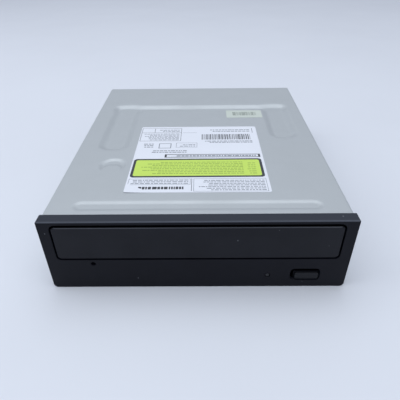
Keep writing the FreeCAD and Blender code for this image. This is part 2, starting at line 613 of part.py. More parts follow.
def top_cover():
    """Folded steel top: roof, two sides and the upper part of the back, with its pressed features."""
    body = new_body("TopCover")
    half, low, high = CASE_HALF, CASE_BASE, CASE_TOP
    skin = facing(body, S.BezelDepth, [(-half, low), (half, low), (half, high, S.CaseBend),
                                       (-half, high, S.CaseBend)])
    pad(body, skin, S.Depth - S.BezelDepth, towards_plus=False)
    inner = half - S.Sheet
    bend = S.CaseBend - S.Sheet
    hollow = facing(body, S.BezelDepth, [(-inner, low - PAST), (inner, low - PAST),
                                         (inner, ROOF_UNDER, bend), (-inner, ROOF_UNDER, bend)])
    pocket(body, hollow, S.Depth - S.BezelDepth - S.Sheet)
    flange_base = S.RearSplit + S.SplitGap
    opening = facing(body, S.Depth - S.Sheet, oblong((-inner, inner), (low - PAST, flange_base)))
    pocket(body, opening, S.Sheet + PAST)
    bead_x = (S.BeadSide - half, half - S.BeadSide)
    bead_y = (rearwards(S.BeadFront), rearwards(S.BeadFront + S.BeadWidth))
    press(body, lambda height: stadium(body, height, bead_x, bead_y, along_x=True), high, S.BeadDeep,
          S.BeadSlope)
    arms, floor_arms = arm_corners(), inset(arm_corners(), S.ArmSlope)
    for face, kind in ((ROOF_UNDER, "Additive"), (high, "Subtractive")):
        loft(body, kind, outline(body, "XY_Plane", face, arms),
             outline(body, "XY_Plane", face - S.ArmDeep, floor_arms))
    pad(body, crescent(body, ROOF_UNDER, S.DimpleWall), S.DimpleDeep, towards_plus=False)
    pocket(body, crescent(body, high, 0), S.DimpleDeep)
    DOC.recompute()
    collars, holes = [], []
    for depth in mount_depths():
        for height in mount_heights():
            for side in (-1, 1):
                near = inner - S.MountCollarDeep
                start, stop = across(side, near, half)
                seat = dict(along=LEFTWARD, y=rearwards(depth), z=height)
                collars.append(rod(S.MountCollar, start, as_size(stop) - start, **seat))
                holes.append(rod(S.MountHole, start - PAST, as_size(stop) - start + PAST * 2, **seat))
    return node("top_cover", cut(fuse(body, *collars), *holes))


def cover_screw_places():
    """Where the four screws through the bottom cover stand."""
    depths = (S.CoverScrewFront, S.Depth - S.CoverScrewBack)
    x = CASE_HALF - S.CoverScrewSide
    return [(side * x, rearwards(depth)) for depth in depths for side in (-1, 1)]


def plug_sides():
    """The low and high X of the connector."""
    middle = FRAME_INNER - S.PlugSide
    return middle - S.PlugWidth / 2, middle + S.PlugWidth / 2


def bottom_cover():
    """Steel floor with the lower part of the back, dished round its screws."""
    body = new_body("BottomCover")
    half = CASE_HALF - S.Sheet - S.Slip
    front, back = rearwards(S.BezelDepth + S.HookInset), rearwards(S.Depth)
    bend = S.CaseBend - S.Sheet
    side_view = [(front, CASE_BASE), (back, CASE_BASE, S.CaseBend), (back, S.RearSplit),
                 (back - S.Sheet, S.RearSplit), (back - S.Sheet, FLOOR_TOP, bend), (front, FLOOR_TOP)]
    pad(body, outline(body, "YZ_Plane", -half, side_view), half * 2)
    dishes = [(x, y, S.DishRound) for x, y in cover_screw_places()]
    pad(body, circles(body, "XY_Plane", FLOOR_TOP, dishes), S.DishDeep, slope=S.BeadSlope)
    pocket(body, circles(body, "XY_Plane", CASE_BASE, dishes), S.DishDeep, towards_plus=True,
           slope=S.BeadSlope)
    start, stop = rearwards(S.FloorBeadFront), rearwards(BOARD_FRONT - S.FloorBeadGap)
    for side in (-1, 1):
        middle, reach = side * S.FloorBeadX, S.FloorBeadWidth / 2
        sides = (middle - reach, middle + reach)
        pad(body, stadium(body, FLOOR_TOP, sides, (start, stop), along_x=False), S.FloorBeadDeep,
            slope=S.BeadSlope)
        pocket(body, stadium(body, CASE_BASE, sides, (start, stop), along_x=False), S.FloorBeadDeep,
               towards_plus=True, slope=S.BeadSlope)
    holes = [rod(S.CoverScrewRound + S.Slip, CASE_BASE, S.Sheet + S.DishDeep + PAST, x=x, y=y)
             for x, y in cover_screw_places()]
    mount_x = CASE_HALF - S.BottomMountSide
    holes += [rod(S.MountHole, CASE_BASE - PAST, S.Sheet + PAST * 2, x=side * mount_x, y=rearwards(depth))
              for depth in mount_depths() for side in (-1, 1)]
    left, right = plug_sides()
    gap = S.PlugOpening
    plug_base = S.BoardBase + S.BoardThick
    holes.append(block((left - gap, right + gap), (rearwards(S.Depth - S.Sheet - PAST),
                                                   rearwards(S.Depth + PAST)),
                       (S.BoardBase - gap, plug_base + S.PlugHeight + gap)))
    return node("bottom_cover", cut(body, *holes))


def screw(head_radius, head_thick, shank_radius, reach, x, y, head_base, points_up):
    """A pan-head screw on an upright line, its head's low face at a height."""
    head = rod(head_radius, head_base, head_thick, x=x, y=y)
    start = head_base + head_thick if points_up else as_size(head_base) - reach
    return fuse(head, rod(shank_radius, start, reach, x=x, y=y))


def cover_screws():
    """Four screws that hold the bottom cover to the loader frame."""
    under = CASE_BASE + S.DishDeep
    return node("cover_screws", group(*[
        screw(S.CoverHeadRound, S.CoverHeadThick, S.CoverScrewRound, S.CoverScrewReach, x, y,
              under - S.CoverHeadThick, points_up=True) for x, y in cover_screw_places()]))


def door_opening():
    """The opening for the tray's door, its corners concentric with the door's."""
    gap = S.DoorGap
    return oblong((-DOOR_HALF - gap, DOOR_HALF + gap),
                  (S.DoorBase - gap, S.DoorBase + S.DoorHeight + gap), S.DoorRound + gap)


def button_sides():
    """The low and high X of the eject button."""
    return BUTTON_X - S.ButtonWidth / 2, BUTTON_X + S.ButtonWidth / 2


def front_bezel():
    """Moulded front: plate, rim, openings, the scoop round the button and its snap hooks."""
    body = new_body("FrontBezel")
    half, high = BEZEL_HALF, BEZEL_TOP
    low_round, high_round = S.BezelLowRound, S.BezelHighRound
    face = facing(body, 0, [(-half, 0, low_round), (half, 0, low_round), (half, high, high_round),
                            (-half, high, high_round)])
    pad(body, face, S.BezelDepth, towards_plus=False)
    break_edges(body, "Fillet", S.BezelEdge, lambda edge: edge.BoundBox.YMax < rearwards(0).value + 1e-6)
    rim = S.BezelRim
    inner_round = low_round - rim
    hollow = facing(body, S.BezelPlate, [(-half + rim, rim, inner_round), (half - rim, rim, inner_round),
                                         (half - rim, high - rim), (-half + rim, high - rim)])
    pocket(body, hollow, S.BezelDepth)
    pocket(body, facing(body, 0, door_opening()), S.BezelPlate + PAST)
    reach = S.ScoopWidth / 2
    middle = BUTTON_X - S.ScoopShift
    scoop = oblong((middle - reach, middle + reach), (S.ButtonBase, S.ButtonBase + S.ScoopHeight),
                   S.ScoopRound)
    loft(body, "Subtractive", facing(body, 0, scoop),
         facing(body, S.ScoopDeep, inset(scoop, S.ScoopSlope)))
    left, right = button_sides()
    gap = S.ButtonGap
    button_hole = oblong((left - gap, right + gap),
                         (S.ButtonBase - gap, S.ButtonBase + S.ButtonHeight + gap), S.ButtonRound + gap)
    pocket(body, facing(body, 0, button_hole), S.BezelPlate + PAST)
    round_holes = [(-PINHOLE_X, S.PinholeHeight, S.PinholeRound),
                   (LIGHT_X, S.LightHeight, S.LightRound + S.LightGap)]
    pocket(body, facing_circles(body, 0, round_holes), S.BezelPlate + PAST)
    plate_back = rearwards(S.BezelPlate)
    hooks = []
    outer = CASE_HALF - S.Sheet - S.HookInset
    for side in (-1, 1):
        x = across(side, outer - S.HookThick, outer)
        for base in (S.HookLow, S.HookHigh):
            hooks.append(block(x, (plate_back, plate_back + S.BezelDepth + S.HookReach - S.BezelPlate),
                               (base, base + S.HookHeight)))
        tongue = (side * S.TongueX - S.TongueHalf, side * S.TongueX + S.TongueHalf)
        tongue_base = FLOOR_TOP + S.Slip
        hooks.append(block(tongue, (plate_back, rearwards(S.BezelDepth + S.TongueReach)),
                           (tongue_base, tongue_base + S.TongueThick)))
    return node("front_bezel", fuse(body, *hooks))


def tray_front():
    """The tray's door: a plate with an eased front edge and ribs that seat on the tray."""
    body = new_body("TrayFront")
    half, base, top = DOOR_HALF, S.DoorBase, S.DoorBase + S.DoorHeight
    pad(body, facing(body, 0, oblong((-half, half), (base, top), S.DoorRound)), S.DoorThick,
        towards_plus=False)
    break_edges(body, "Chamfer", S.DoorEdge, lambda edge: edge.BoundBox.YMax < rearwards(0).value + 1e-6)
    ribs = []
    for place_of_rib in (-S.DoorRibX, -S.DoorRibNear, S.DoorRibNear, S.DoorRibX):
        for shift in (-S.DoorRibThick * 2, S.DoorRibThick * 2):
            middle = place_of_rib + shift
            ribs.append(block((middle - S.DoorRibThick / 2, middle + S.DoorRibThick / 2),
                              (rearwards(S.DoorThick), rearwards(S.TrayFront)),
                              (S.TrayTop - S.DoorRibHeight, S.TrayTop)))
    return node("tray_front", fuse(body, *ribs))


def eject_button():
    """The button: a rounded cap, a flange that stops it behind the bezel, and a stem to the switch."""
    body = new_body("EjectButton")
    left, right = button_sides()
    base, top = S.ButtonBase, S.ButtonBase + S.ButtonHeight
    pad(body, facing(body, S.ButtonRecess, oblong((left, right), (base, top), S.ButtonRound)),
        S.ButtonBody, towards_plus=False)
    front = rearwards(S.ButtonRecess).value + 1e-6
    break_edges(body, "Fillet", S.BezelEdge, lambda edge: edge.BoundBox.YMax < front)
    flange_front = S.ButtonRecess + S.ButtonBody
    flange = block((left - S.ButtonFlange, right + S.ButtonFlange),
                   (rearwards(flange_front), rearwards(flange_front + S.ButtonFlangeThick)),
                   (base - S.ButtonFlange, top + S.ButtonFlange))
    stem_half = S.ButtonStemWidth / 2
    middle_height = base + S.ButtonHeight / 2
    stem = block((BUTTON_X - stem_half, BUTTON_X + stem_half),
                 (rearwards(flange_front + S.ButtonFlangeThick), rearwards(S.SwitchFront - S.PlungerReach)),
                 (middle_height - stem_half, middle_height + stem_half))
    return node("eject_button", fuse(body, flange, stem))


def labels():
    """The large printed label and the small sticker on the roof."""
    rating = plate("RatingLabel", (-S.LabelLeft, S.LabelRight),
                   (rearwards(S.LabelFront), rearwards(S.LabelFront + S.LabelLength)),
                   (CASE_TOP, CASE_TOP + S.LabelThick), S.LabelRound)
    small = plate("SerialLabel", (S.StickerLeft, S.StickerLeft + S.StickerWidth),
                  (rearwards(S.StickerFront), rearwards(S.StickerFront + S.StickerLength)),
                  (CASE_TOP, CASE_TOP + S.LabelThick), S.LabelRound)
    node("rating_label", rating)
    node("serial_label", small)


def disc_tray():
    """Moulded tray: two disc pockets, the open slot for the turntable, side rails and the toothed rack."""
    body = new_body("DiscTray")
    half, front, back = TRAY_HALF, rearwards(S.TrayFront), rearwards(TRAY_BACK)
    pad(body, outline(body, "XY_Plane", S.TrayUnder, oblong((-half, half), (front, back), S.TrayRound)),
        S.TrayTop - S.TrayUnder)
    centre = rearwards(S.SpindleDepth)
    for radius, floor in ((S.DiscPocketRound, S.DiscPocketFloor), (S.SmallPocketRound, S.SmallPocketFloor)):
        pocket(body, circles(body, "XY_Plane", S.TrayTop, [(0, centre, radius)]), S.TrayTop - floor)
    notch_y = back - S.ThumbNotchRear
    notches = [(side * S.ThumbNotchX, notch_y, S.ThumbNotch) for side in (-1, 1)]
    pocket(body, circles(body, "XY_Plane", S.TrayTop, notches), S.TrayTop - S.SmallPocketFloor)
    slot_centre, slot_deep = centre + S.SlotShift, S.TrayTop - S.TrayUnder + 2 * PAST
    slot = [rod(S.SlotHalf, S.TrayUnder - PAST, slot_deep, x=0, y=slot_centre),
            block((-S.SlotHalf, S.SlotHalf), (slot_centre, back + PAST),
                  (S.TrayUnder - PAST, S.TrayTop + PAST))]
    rails = [block(across(side, half - S.RailWidth, half), (front + S.TrayRound, back - S.TrayRound),
                   (S.RailFoot, S.TrayUnder)) for side in (-1, 1)]
    retainers = retainer_slots(centre)
    return node("disc_tray", cut(fuse(body, *rails, solid_of(rack_shape())), *slot, *retainers))


def retainer_slots(centre):
    """Four short slots at the pocket's edge, for tabs that hold a disc in a drive on its side."""
    slots = []
    reach = S.DiscPocketRound * math.sin(math.radians(45))
    for side_x in (-1, 1):
        for side_y in (-1, 1):
            x, y = side_x * reach, centre + side_y * reach
            slots.append(block((x - S.RetainerHalf, x + S.RetainerHalf),
                               (y - S.RetainerWidth / 2, y + S.RetainerWidth / 2),
                               (S.TrayUnder - PAST, S.TrayTop + PAST)))
    return slots


def gear_place(name):
    """The X of each gear's axle, set out from the rack by the meshing pitch circles."""
    drive = rack_pitch_line() + S.DriveTeeth * S.TopModule / 2
    idler = drive + (S.IdlerSmallTeeth + S.DriveTeeth) * S.TopModule / 2
    belt_gear = idler + (S.BeltGearTeeth + S.IdlerBigTeeth) * S.MidModule / 2
    return {"motor": belt_gear + S.MotorPitch, "belt": belt_gear, "idler": idler, "drive": drive}[name]


def rack_pitch_line():
    """The X of the rack's pitch line, which touches the drive gear's pitch circle."""
    return S.RackSide + S.RackWidth - TRAY_HALF


def rack_shape():
    """The toothed rail under the tray's left side, its teeth facing the drive gear."""
    module, line = S.TopModule.value, rack_pitch_line().value
    pitch = math.pi * module
    lean = math.tan(math.radians(S.PressureAngle.value))
    tip, root = line + S.Addendum.value * module, line - S.Dedendum.value * module
    half_pitch_tooth = (pitch / 2 - S.ToothPlay.value) / 2
    half_tip = half_pitch_tooth - (tip - line) * lean
    half_root = half_pitch_tooth + (line - root) * lean
    gear_y = rearwards(S.GearDepth).value
    start, stop = rearwards(S.TrayFront + S.TrayRound).value, rearwards(TRAY_BACK - S.TrayRound).value
    outer = (S.RackSide - TRAY_HALF).value
    points = [Vector(outer, start, 0), Vector(root, start, 0)]
    first = math.ceil((start + pitch - gear_y) / pitch)
    last = math.floor((stop - pitch - gear_y) / pitch)
    for step in range(first, last):
        y = gear_y + (step + 0.5) * pitch
        points += [Vector(root, y - half_root, 0), Vector(tip, y - half_tip, 0),
                   Vector(tip, y + half_tip, 0), Vector(root, y + half_root, 0)]
    points += [Vector(root, stop, 0), Vector(outer, stop, 0)]
    face = Part.Face(Part.makePolygon(points + points[:1]))
    rack = face.extrude(UP * (S.TrayUnder - S.RackFoot).value)
    rack.translate(UP * S.RackFoot.value)
    return rack


def involute_half_angle(radius, pitch_radius, half_at_pitch):
    """Half the angle that a tooth takes up at a radius."""
    pressure = math.radians(S.PressureAngle.value)
    base = pitch_radius * math.cos(pressure)
    here = math.acos(min(1.0, base / max(radius, base)))
    spread = math.tan(pressure) - pressure
    return half_at_pitch + spread - (math.tan(here) - here)


def gear_shape(teeth, module, height, phase, bore):
    """A spur gear with involute flanks, one of its teeth pointing along the phase angle."""
    count, size = int(teeth.value), module.value
    pitch_radius = count * size / 2
    tip = pitch_radius + S.Addendum.value * size
    root = pitch_radius - S.Dedendum.value * size
    base = pitch_radius * math.cos(math.radians(S.PressureAngle.value))
    half_at_pitch = (math.pi * size / 2 - S.ToothPlay.value) / (2 * pitch_radius)
    radii = [root] + ([base] if base > root * 1.01 else []) + [pitch_radius, tip]
    points = []
    for tooth in range(count):
        middle = phase + tooth * math.tau / count
        for radius, side in [(r, -1) for r in radii] + [(r, 1) for r in reversed(radii)]:
            angle = middle + side * involute_half_angle(radius, pitch_radius, half_at_pitch)
            points.append(Vector(radius * math.cos(angle), radius * math.sin(angle), 0))
    gear = Part.Face(Part.makePolygon(points + points[:1])).extrude(UP * as_size(height).value)
    return gear.cut(Part.makeCylinder(as_size(bore).value, as_size(height).value))


def levels():
    """The low heights of the pulley, middle and top levels of the gear train."""
    pulley = S.PulleyBase
    middle = pulley + S.PulleyHeight + S.LevelGap
    return pulley, middle, middle + S.MidGearHeight + S.LevelGap


def space_phase(own_teeth, direction, other_phase, other_teeth):
    """The phase that puts a space of this gear against a tooth of the gear that drives it."""
    offset = (other_phase - (direction - math.pi)) * other_teeth.value / own_teeth.value
    return direction - offset + math.pi / own_teeth.value


def pulley_shape(radius, bore):
    """A pulley: the running face between two lips."""
    height, lip, thick = S.PulleyHeight.value, S.PulleyLip.value, S.PulleyLipThick.value
    inner, outer, hole = as_size(radius).value, as_size(radius).value + lip, as_size(bore).value
    profile = [Vector(hole, 0, 0), Vector(outer, 0, 0), Vector(outer, 0, thick), Vector(inner, 0, thick),
               Vector(inner, 0, height - thick), Vector(outer, 0, height - thick), Vector(outer, 0, height),
               Vector(hole, 0, height)]
    return Part.Face(Part.makePolygon(profile + profile[:1])).revolve(Vector(), UP, 360)


def placed(shape, x, depth, height):
    """An object for a worked-out shape, set at its place."""
    holder = solid_of(shape)
    place(holder, x, rearwards(depth), height)
    return holder


def gear_train():
    """Motor pulley, belt gear, idler and drive gear: each wheel in mesh with the next and with the rack."""
    pulley_level, middle_level, top_level = levels()
    bore = S.PostRound + S.PostGap
    drive_phase = math.pi
    small_phase = space_phase(S.IdlerSmallTeeth, math.pi, drive_phase, S.DriveTeeth)
    node("drive_gear", placed(gear_shape(S.DriveTeeth, S.TopModule, S.TopGearHeight, drive_phase,
                                         S.DrivePostRound + S.PostGap),
                              gear_place("drive"), S.GearDepth, top_level))
    big = gear_shape(S.IdlerBigTeeth, S.MidModule, S.MidGearHeight, 0.0, bore)
    hub = Part.makeCylinder(S.PostBoss.value, S.LevelGap.value, Vector(0, 0, S.MidGearHeight.value))
    hub = hub.cut(Part.makeCylinder(bore.value, S.LevelGap.value, Vector(0, 0, S.MidGearHeight.value)))
    small = gear_shape(S.IdlerSmallTeeth, S.TopModule, S.TopGearHeight, small_phase, bore)
    small.translate(UP * (S.MidGearHeight + S.LevelGap).value)
    node("idler_gear", placed(big.fuse([hub, small]).removeSplitter(), gear_place("idler"), S.GearDepth,
                              middle_level))
    pinion = gear_shape(S.BeltGearTeeth, S.MidModule, S.MidGearHeight + S.LevelGap,
                        math.pi + math.pi / S.BeltGearTeeth.value, bore)
    pinion.translate(UP * S.PulleyHeight.value)
    node("belt_gear", placed(pulley_shape(S.BeltPulley, bore).fuse(pinion).removeSplitter(),
                             gear_place("belt"), S.GearDepth, pulley_level))
    node("motor_pulley", placed(pulley_shape(S.MotorPulley, S.ShaftRound), gear_place("motor"), S.GearDepth,
                                pulley_level))


def drive_belt():
    """The square belt round both pulleys, in open air by a running clearance."""
    gap, width = S.BeltGap.value, S.Belt.value
    radii = S.BeltPulley.value + gap, S.MotorPulley.value + gap
    centres = gear_place("belt").value, gear_place("motor").value
    height = (S.PulleyHeight - 2 * S.PulleyLipThick).value
    outer = belt_face(radii[0] + width, radii[1] + width, centres)
    inner = belt_face(radii[0], radii[1], centres)
    band = outer.cut(inner).extrude(UP * (height - 2 * gap))
    holder = solid_of(band)
    place(holder, 0, rearwards(S.GearDepth), S.PulleyBase + S.PulleyLipThick + S.BeltGap)
    return node("drive_belt", holder)


def belt_face(big, small, centres):
    """The area inside a loop round two circles on one line."""
    distance = centres[1] - centres[0]
    lean = math.acos((big - small) / distance)
    up_big = Vector(centres[0] + big * math.cos(lean), big * math.sin(lean), 0)
    up_small = Vector(centres[1] + small * math.cos(lean), small * math.sin(lean), 0)
    down_big, down_small = Vector(up_big.x, -up_big.y, 0), Vector(up_small.x, -up_small.y, 0)
    edges = [Part.LineSegment(up_small, up_big).toShape(),
             Part.Arc(up_big, Vector(centres[0] - big, 0, 0), down_big).toShape(),
             Part.LineSegment(down_big, down_small).toShape(),
             Part.Arc(down_small, Vector(centres[1] + small, 0, 0), up_small).toShape()]
    return Part.Face(Part.Wire(edges))


def loading_motor():
    """The motor that moves the tray: a can with a boss under its deck and the shaft for its pulley."""
    x, y = gear_place("motor"), rearwards(S.GearDepth)
    can_top = S.MotorBase + S.MotorHeight
    can = rod(S.MotorRound, S.MotorBase, S.MotorHeight, x=x, y=y)
    boss_top = S.MotorDeckTop + S.Slip
    boss = rod(S.MotorBoss, can_top, boss_top - can_top, x=x, y=y)
    end = rod(S.MotorBoss, S.MotorBase - S.FloorBeadDeep / 2, S.FloorBeadDeep / 2, x=x, y=y)
    return node("loading_motor", fuse(can, boss, end))


def motor_shaft():
    """The shaft that carries the motor pulley; it turns with it."""
    start, end = S.MotorDeckTop + S.Slip, S.PulleyBase + S.PulleyHeight
    x, y = gear_place("motor"), rearwards(S.GearDepth)
    return node("motor_shaft", rod(S.ShaftRound, start, end - start, x=x, y=y))


def frame_side(side):
    """One side of the loader frame: wall, bridge posts, tray ledge, deck, hold-down tabs and bearing."""
    front, back = rearwards(S.FrameFront), rearwards(FRAME_BACK)
    inner = FRAME_INNER
    base = FLOOR_TOP + S.FrameLift
    wall_x = across(side, inner, FRAME_OUTER)
    deck_edge = S.BearingInner + S.DeckLip
    pieces = [block(wall_x, (front, back), (base, S.FrameTop)),
              block(across(side, inner - S.LedgeWidth, inner), (front, back),
                    (S.DeckTop - S.DeckThick, S.LedgeTop)),
              block(across(side, inner - S.DeckWidth, inner), (front, rearwards(WELL_FRONT)),
                    (S.DeckTop - S.DeckThick, S.DeckTop)),
              block(across(side, deck_edge, inner), (rearwards(WELL_FRONT), back),
                    (S.DeckTop - S.DeckThick, S.DeckTop))]
    for start in (S.TabFirst, FRAME_BACK - S.TabRear):
        along = rearwards(start), rearwards(start + S.TabLength)
        pieces.append(block(across(side, inner - S.TabWidth, inner), along, (S.TabUnder, S.FrameTop)))
    post_x = across(side, FRAME_OUTER - S.BridgePostWidth, FRAME_OUTER)
    post_length = 2 * S.BridgeScrewInset
    for start in (BRIDGE_FRONT, BRIDGE_BACK - post_length):
        pieces.append(block(post_x, (rearwards(start), rearwards(start + post_length)),
                            (S.TabUnder, S.BridgeSeat)))
    bearing_x = across(side, S.BearingInner, S.BearingInner + S.BearingThick)
    bearing_y = rearwards(PIVOT_DEPTH - S.BearingHalf), rearwards(PIVOT_DEPTH + S.BearingHalf)
    deck_under = S.DeckTop - S.DeckThick
    bearing = block(bearing_x, bearing_y, (S.PivotHeight - S.BearingHalf, deck_under))
    brace = block(across(side, S.BearingInner + S.BearingThick / 2, deck_edge + S.BearingThick),
                  bearing_y, (deck_under - S.BearingThick / 2, deck_under))
    lug_top = S.BoardBase + S.BoardThick + S.BoardLugThick
    lug = block(across(side, inner - S.BoardLugWidth, inner),
                (rearwards(BOARD_FRONT), rearwards(BOARD_FRONT + S.BoardLugLength)),
                (S.BoardBase + S.BoardThick, lug_top))
    return pieces + [bearing, brace, lug]


def frame_side_openings(side):
    """What is taken out of one side: windows in the wall, the trunnion hole and bridge screw holes."""
    inner = FRAME_INNER
    through = across(side, inner - PAST, FRAME_OUTER + PAST)
    windows = []
    for step in range(int(S.FrameWindowCount.value)):
        start = S.FrameWindowFirst + step * S.FrameWindowPitch
        windows.append(block(through, (rearwards(start), rearwards(start + S.FrameWindowLength)),
                             (S.FrameWindowBase, S.FrameWindowTop)))
    low, high = across(side, S.BearingInner - PAST, S.BearingInner + S.BearingThick + PAST)
    windows.append(rod(S.TrunnionRound + S.TrunnionGap, low, high - low, LEFTWARD,
                       y=rearwards(PIVOT_DEPTH), z=S.PivotHeight))
    for x, y in bridge_screw_places():
        if x.value * side > 0:
            windows.append(rod(S.BridgeScrewRound, S.BridgeSeat - S.BridgeScrewReach,
                               S.BridgeScrewReach + PAST, x=x, y=y))
    x = side * (inner - S.BoardLugWidth / 2)
    windows.append(rod(S.BridgeScrewRound, S.BoardBase + S.BoardThick - PAST,
                       S.BoardLugThick + PAST, x=x, y=rearwards(BOARD_FRONT + S.BoardLugLength / 2)))
    return windows


def frame_front():
    """The front beam, the gear deck with its bosses and posts, and the channel of the cam slider."""
    inner = FRAME_INNER
    base, front = FLOOR_TOP + S.FrameLift, rearwards(S.FrameFront)
    beam_back = rearwards(S.FrameFront + S.FrontBeam)
    deck_base = S.MotorDeckTop - S.MotorDeckThick
    channel = rearwards(SLIDER_FRONT - S.SliderRun)
    foot_top = S.SliderBase - S.SliderRun
    ends = -SLIDER_LEFT - S.SliderRun, S.SliderRight + S.SliderTravel
    foot = (ends[0], ends[1])
    channel_front = channel - S.ChannelThick
    pieces = [block((-inner, inner), (front, beam_back), (base, S.FrontBeamTop)),
              block((-inner, inner), (beam_back, channel), (deck_base, S.MotorDeckTop)),
              block(foot, (channel_front, channel), (foot_top - S.ChannelThick, deck_base)),
              block(foot, (channel_front, rearwards(SLIDER_FRONT + S.SliderThick + S.SliderRun)),
                    (foot_top - S.ChannelThick, foot_top))]
    y = rearwards(S.GearDepth)
    pulley_level, middle_level, top_level = levels()
    top = top_level + S.TopGearHeight
    middle_top = middle_level + S.MidGearHeight
    posts = (("belt", S.PostBoss, pulley_level - S.Slip, S.PostRound, middle_top),
             ("idler", S.PostBoss, middle_level - S.Slip, S.PostRound, top),
             ("drive", S.PostRound, top_level - S.Slip, S.DrivePostRound, top))
    for name, boss, boss_top, post, post_top in posts:
        x = gear_place(name)
        pieces.append(rod(boss, S.MotorDeckTop, boss_top - S.MotorDeckTop, x=x, y=y))
        pieces.append(rod(post, S.MotorDeckTop, post_top - S.MotorDeckTop, x=x, y=y))
    post_y = rearwards(S.FrontPostDepth)
    board_top = S.FrontBoardBase + S.FrontBoardThick
    pieces.append(rod(S.FrontPostRound, board_top, deck_base - board_top, x=FRONT_POST_X, y=post_y))
    return pieces


def frame_front_openings():
    """The ways through the front: motor boss, emergency pin, eject button, light, and the slider's ends."""
    front, far = rearwards(S.FrameFront - PAST), rearwards(S.FrameFront + S.FrontBeam + PAST)
    left, right = button_sides()
    swell = S.ButtonFlange + S.ButtonGap
    button_way = block((left - swell, right + swell), (front, far),
                       (S.ButtonBase - swell, S.ButtonBase + S.ButtonHeight + swell))
    pin_way = rod(S.PinWay, front, far - front, REARWARD, x=-PINHOLE_X, z=S.PinholeHeight)
    light_way = rod(S.LightRound + S.LightWay, front, far - front, REARWARD, x=LIGHT_X, z=S.LightHeight)
    deck_base = S.MotorDeckTop - S.MotorDeckThick
    motor_x, motor_y = gear_place("motor"), rearwards(S.GearDepth)
    motor_way = rod(S.MotorBoss + S.Slip, deck_base - PAST, S.MotorDeckThick + 2 * PAST,
                    x=motor_x, y=motor_y)
    return [button_way, pin_way, light_way, motor_way]


def loader_frame():
    """The moulded frame inside the case, which carries the tray, the gears, the traverse and the bridge."""
    inner = FRAME_INNER
    pieces = frame_side(-1) + frame_side(1) + frame_front()
    back = rearwards(FRAME_BACK)
    pieces.append(block((-inner, inner), (back - S.RearBeam, back), (S.RearBeamBase, S.DeckTop)))
    under = FLOOR_TOP + S.DishDeep
    for index, (x, y) in enumerate(cover_screw_places()):
        column_top = S.MotorDeckTop if index < 2 else S.DeckTop
        pieces.append(rod(S.ScrewColumn, under, column_top - under, x=x, y=y))
    bores = [rod(S.CoverScrewRound, under - PAST, S.CoverScrewReach + PAST, x=x, y=y)
             for x, y in cover_screw_places()]
    openings = frame_side_openings(-1) + frame_side_openings(1) + frame_front_openings()
    return node("loader_frame", cut(fuse(*pieces), *openings, *bores))


def bridge_screw_places():
    """Where the clamper bridge is screwed to its posts."""
    depths = (BRIDGE_FRONT + S.BridgeScrewInset, BRIDGE_BACK - S.BridgeScrewInset)
    x = FRAME_OUTER - S.BridgeScrewSide
    return [(side * x, rearwards(depth)) for depth in depths for side in (-1, 1)]


def clamper_bridge():
    """The steel strap over the tray that holds the clamper, stiffened by turned-up edges."""
    front, back = rearwards(BRIDGE_FRONT), rearwards(BRIDGE_BACK)
    seat, top = S.BridgeSeat, S.BridgeSeat + S.BridgeThick
    strap = plate("BridgeStrap", (-FRAME_OUTER, FRAME_OUTER), (front, back), (seat, top), S.TrayRound)
    centre = rearwards(S.SpindleDepth)
    boss = rod(S.BridgeHole + S.BridgeFlange, seat, S.BridgeThick, x=0, y=centre)
    flange_half = S.BridgeFlangeHalf
    flanges = [block((-flange_half, flange_half), (edge, edge + S.Sheet), (seat, top + S.Sheet * 2))
               for edge in (front, back - S.Sheet)]
    holes = [rod(S.BridgeHole, seat - PAST, S.BridgeThick + 2 * PAST, x=0, y=centre)]
    holes += [rod(S.BridgeScrewRound, seat - PAST, S.BridgeThick + 2 * PAST, x=x, y=y)
              for x, y in bridge_screw_places()]
    return node("clamper_bridge", cut(fuse(strap, boss, *flanges), *holes))


def bridge_screws():
    """Four screws through the bridge into its posts."""
    top = S.BridgeSeat + S.BridgeThick
    reach = S.BridgeThick + S.BridgeScrewReach
    return node("bridge_screws", group(*[
        screw(S.BridgeHeadRound, S.BridgeHeadThick, S.BridgeScrewRound, reach, x, y, top, points_up=False)
        for x, y in bridge_screw_places()]))


def clamper():
    """The floating clamper: disk, neck and upper flange in one, with a steel yoke in its recess."""
    y = rearwards(S.SpindleDepth)
    under, disk_top = S.ClamperUnder, S.ClamperUnder + S.ClamperDiskThick
    flange_base = S.BridgeSeat + S.BridgeThick + S.ClamperGap
    body = new_body("Clamper")
    centre = [(0, y, S.ClamperDisk)]
    pad(body, circles(body, "XY_Plane", under, centre), S.ClamperDiskThick)
    pad(body, circles(body, "XY_Plane", disk_top, [(0, y, S.ClamperNeck)]), flange_base - disk_top)
    pad(body, circles(body, "XY_Plane", flange_base, [(0, y, S.ClamperFlange)]), S.ClamperFlangeThick)
    recess = circles(body, "XY_Plane", under, [(0, y, S.ClamperRecess)])
    pocket(body, recess, S.ClamperRecessDeep, towards_plus=True)
    yoke_base = under + S.ClamperRecessDeep
    seat = circles(body, "XY_Plane", yoke_base, [(0, y, S.YokeRound - S.YokeThick)])
    pocket(body, seat, S.YokeThick, towards_plus=True)
    node("clamper_plate", body)
    yoke = rod(S.YokeRound - S.YokeThick, yoke_base, S.YokeThick, x=0, y=y)
    node("clamper_yoke", cut(yoke, rod(S.YokeBore, yoke_base - PAST, S.YokeThick + 2 * PAST, x=0, y=y)))


def cam_slider():
    """The slider across the front whose two slanted slots lift and lower the traverse."""
    body = new_body("CamSlider")
    front, back = SLIDER_FRONT, SLIDER_FRONT + S.SliderThick
    left, right, low, high = -SLIDER_LEFT, S.SliderRight, S.SliderBase, S.SliderTop
    pad(body, facing(body, front, oblong((left, right), (low, high), S.SliderRound)), S.SliderThick,
        towards_plus=False)
    tools = [solid_of(cam_slot(side, front.value, back.value)) for side in (-1, 1)]
    return node("cam_slider", cut(body, *tools))


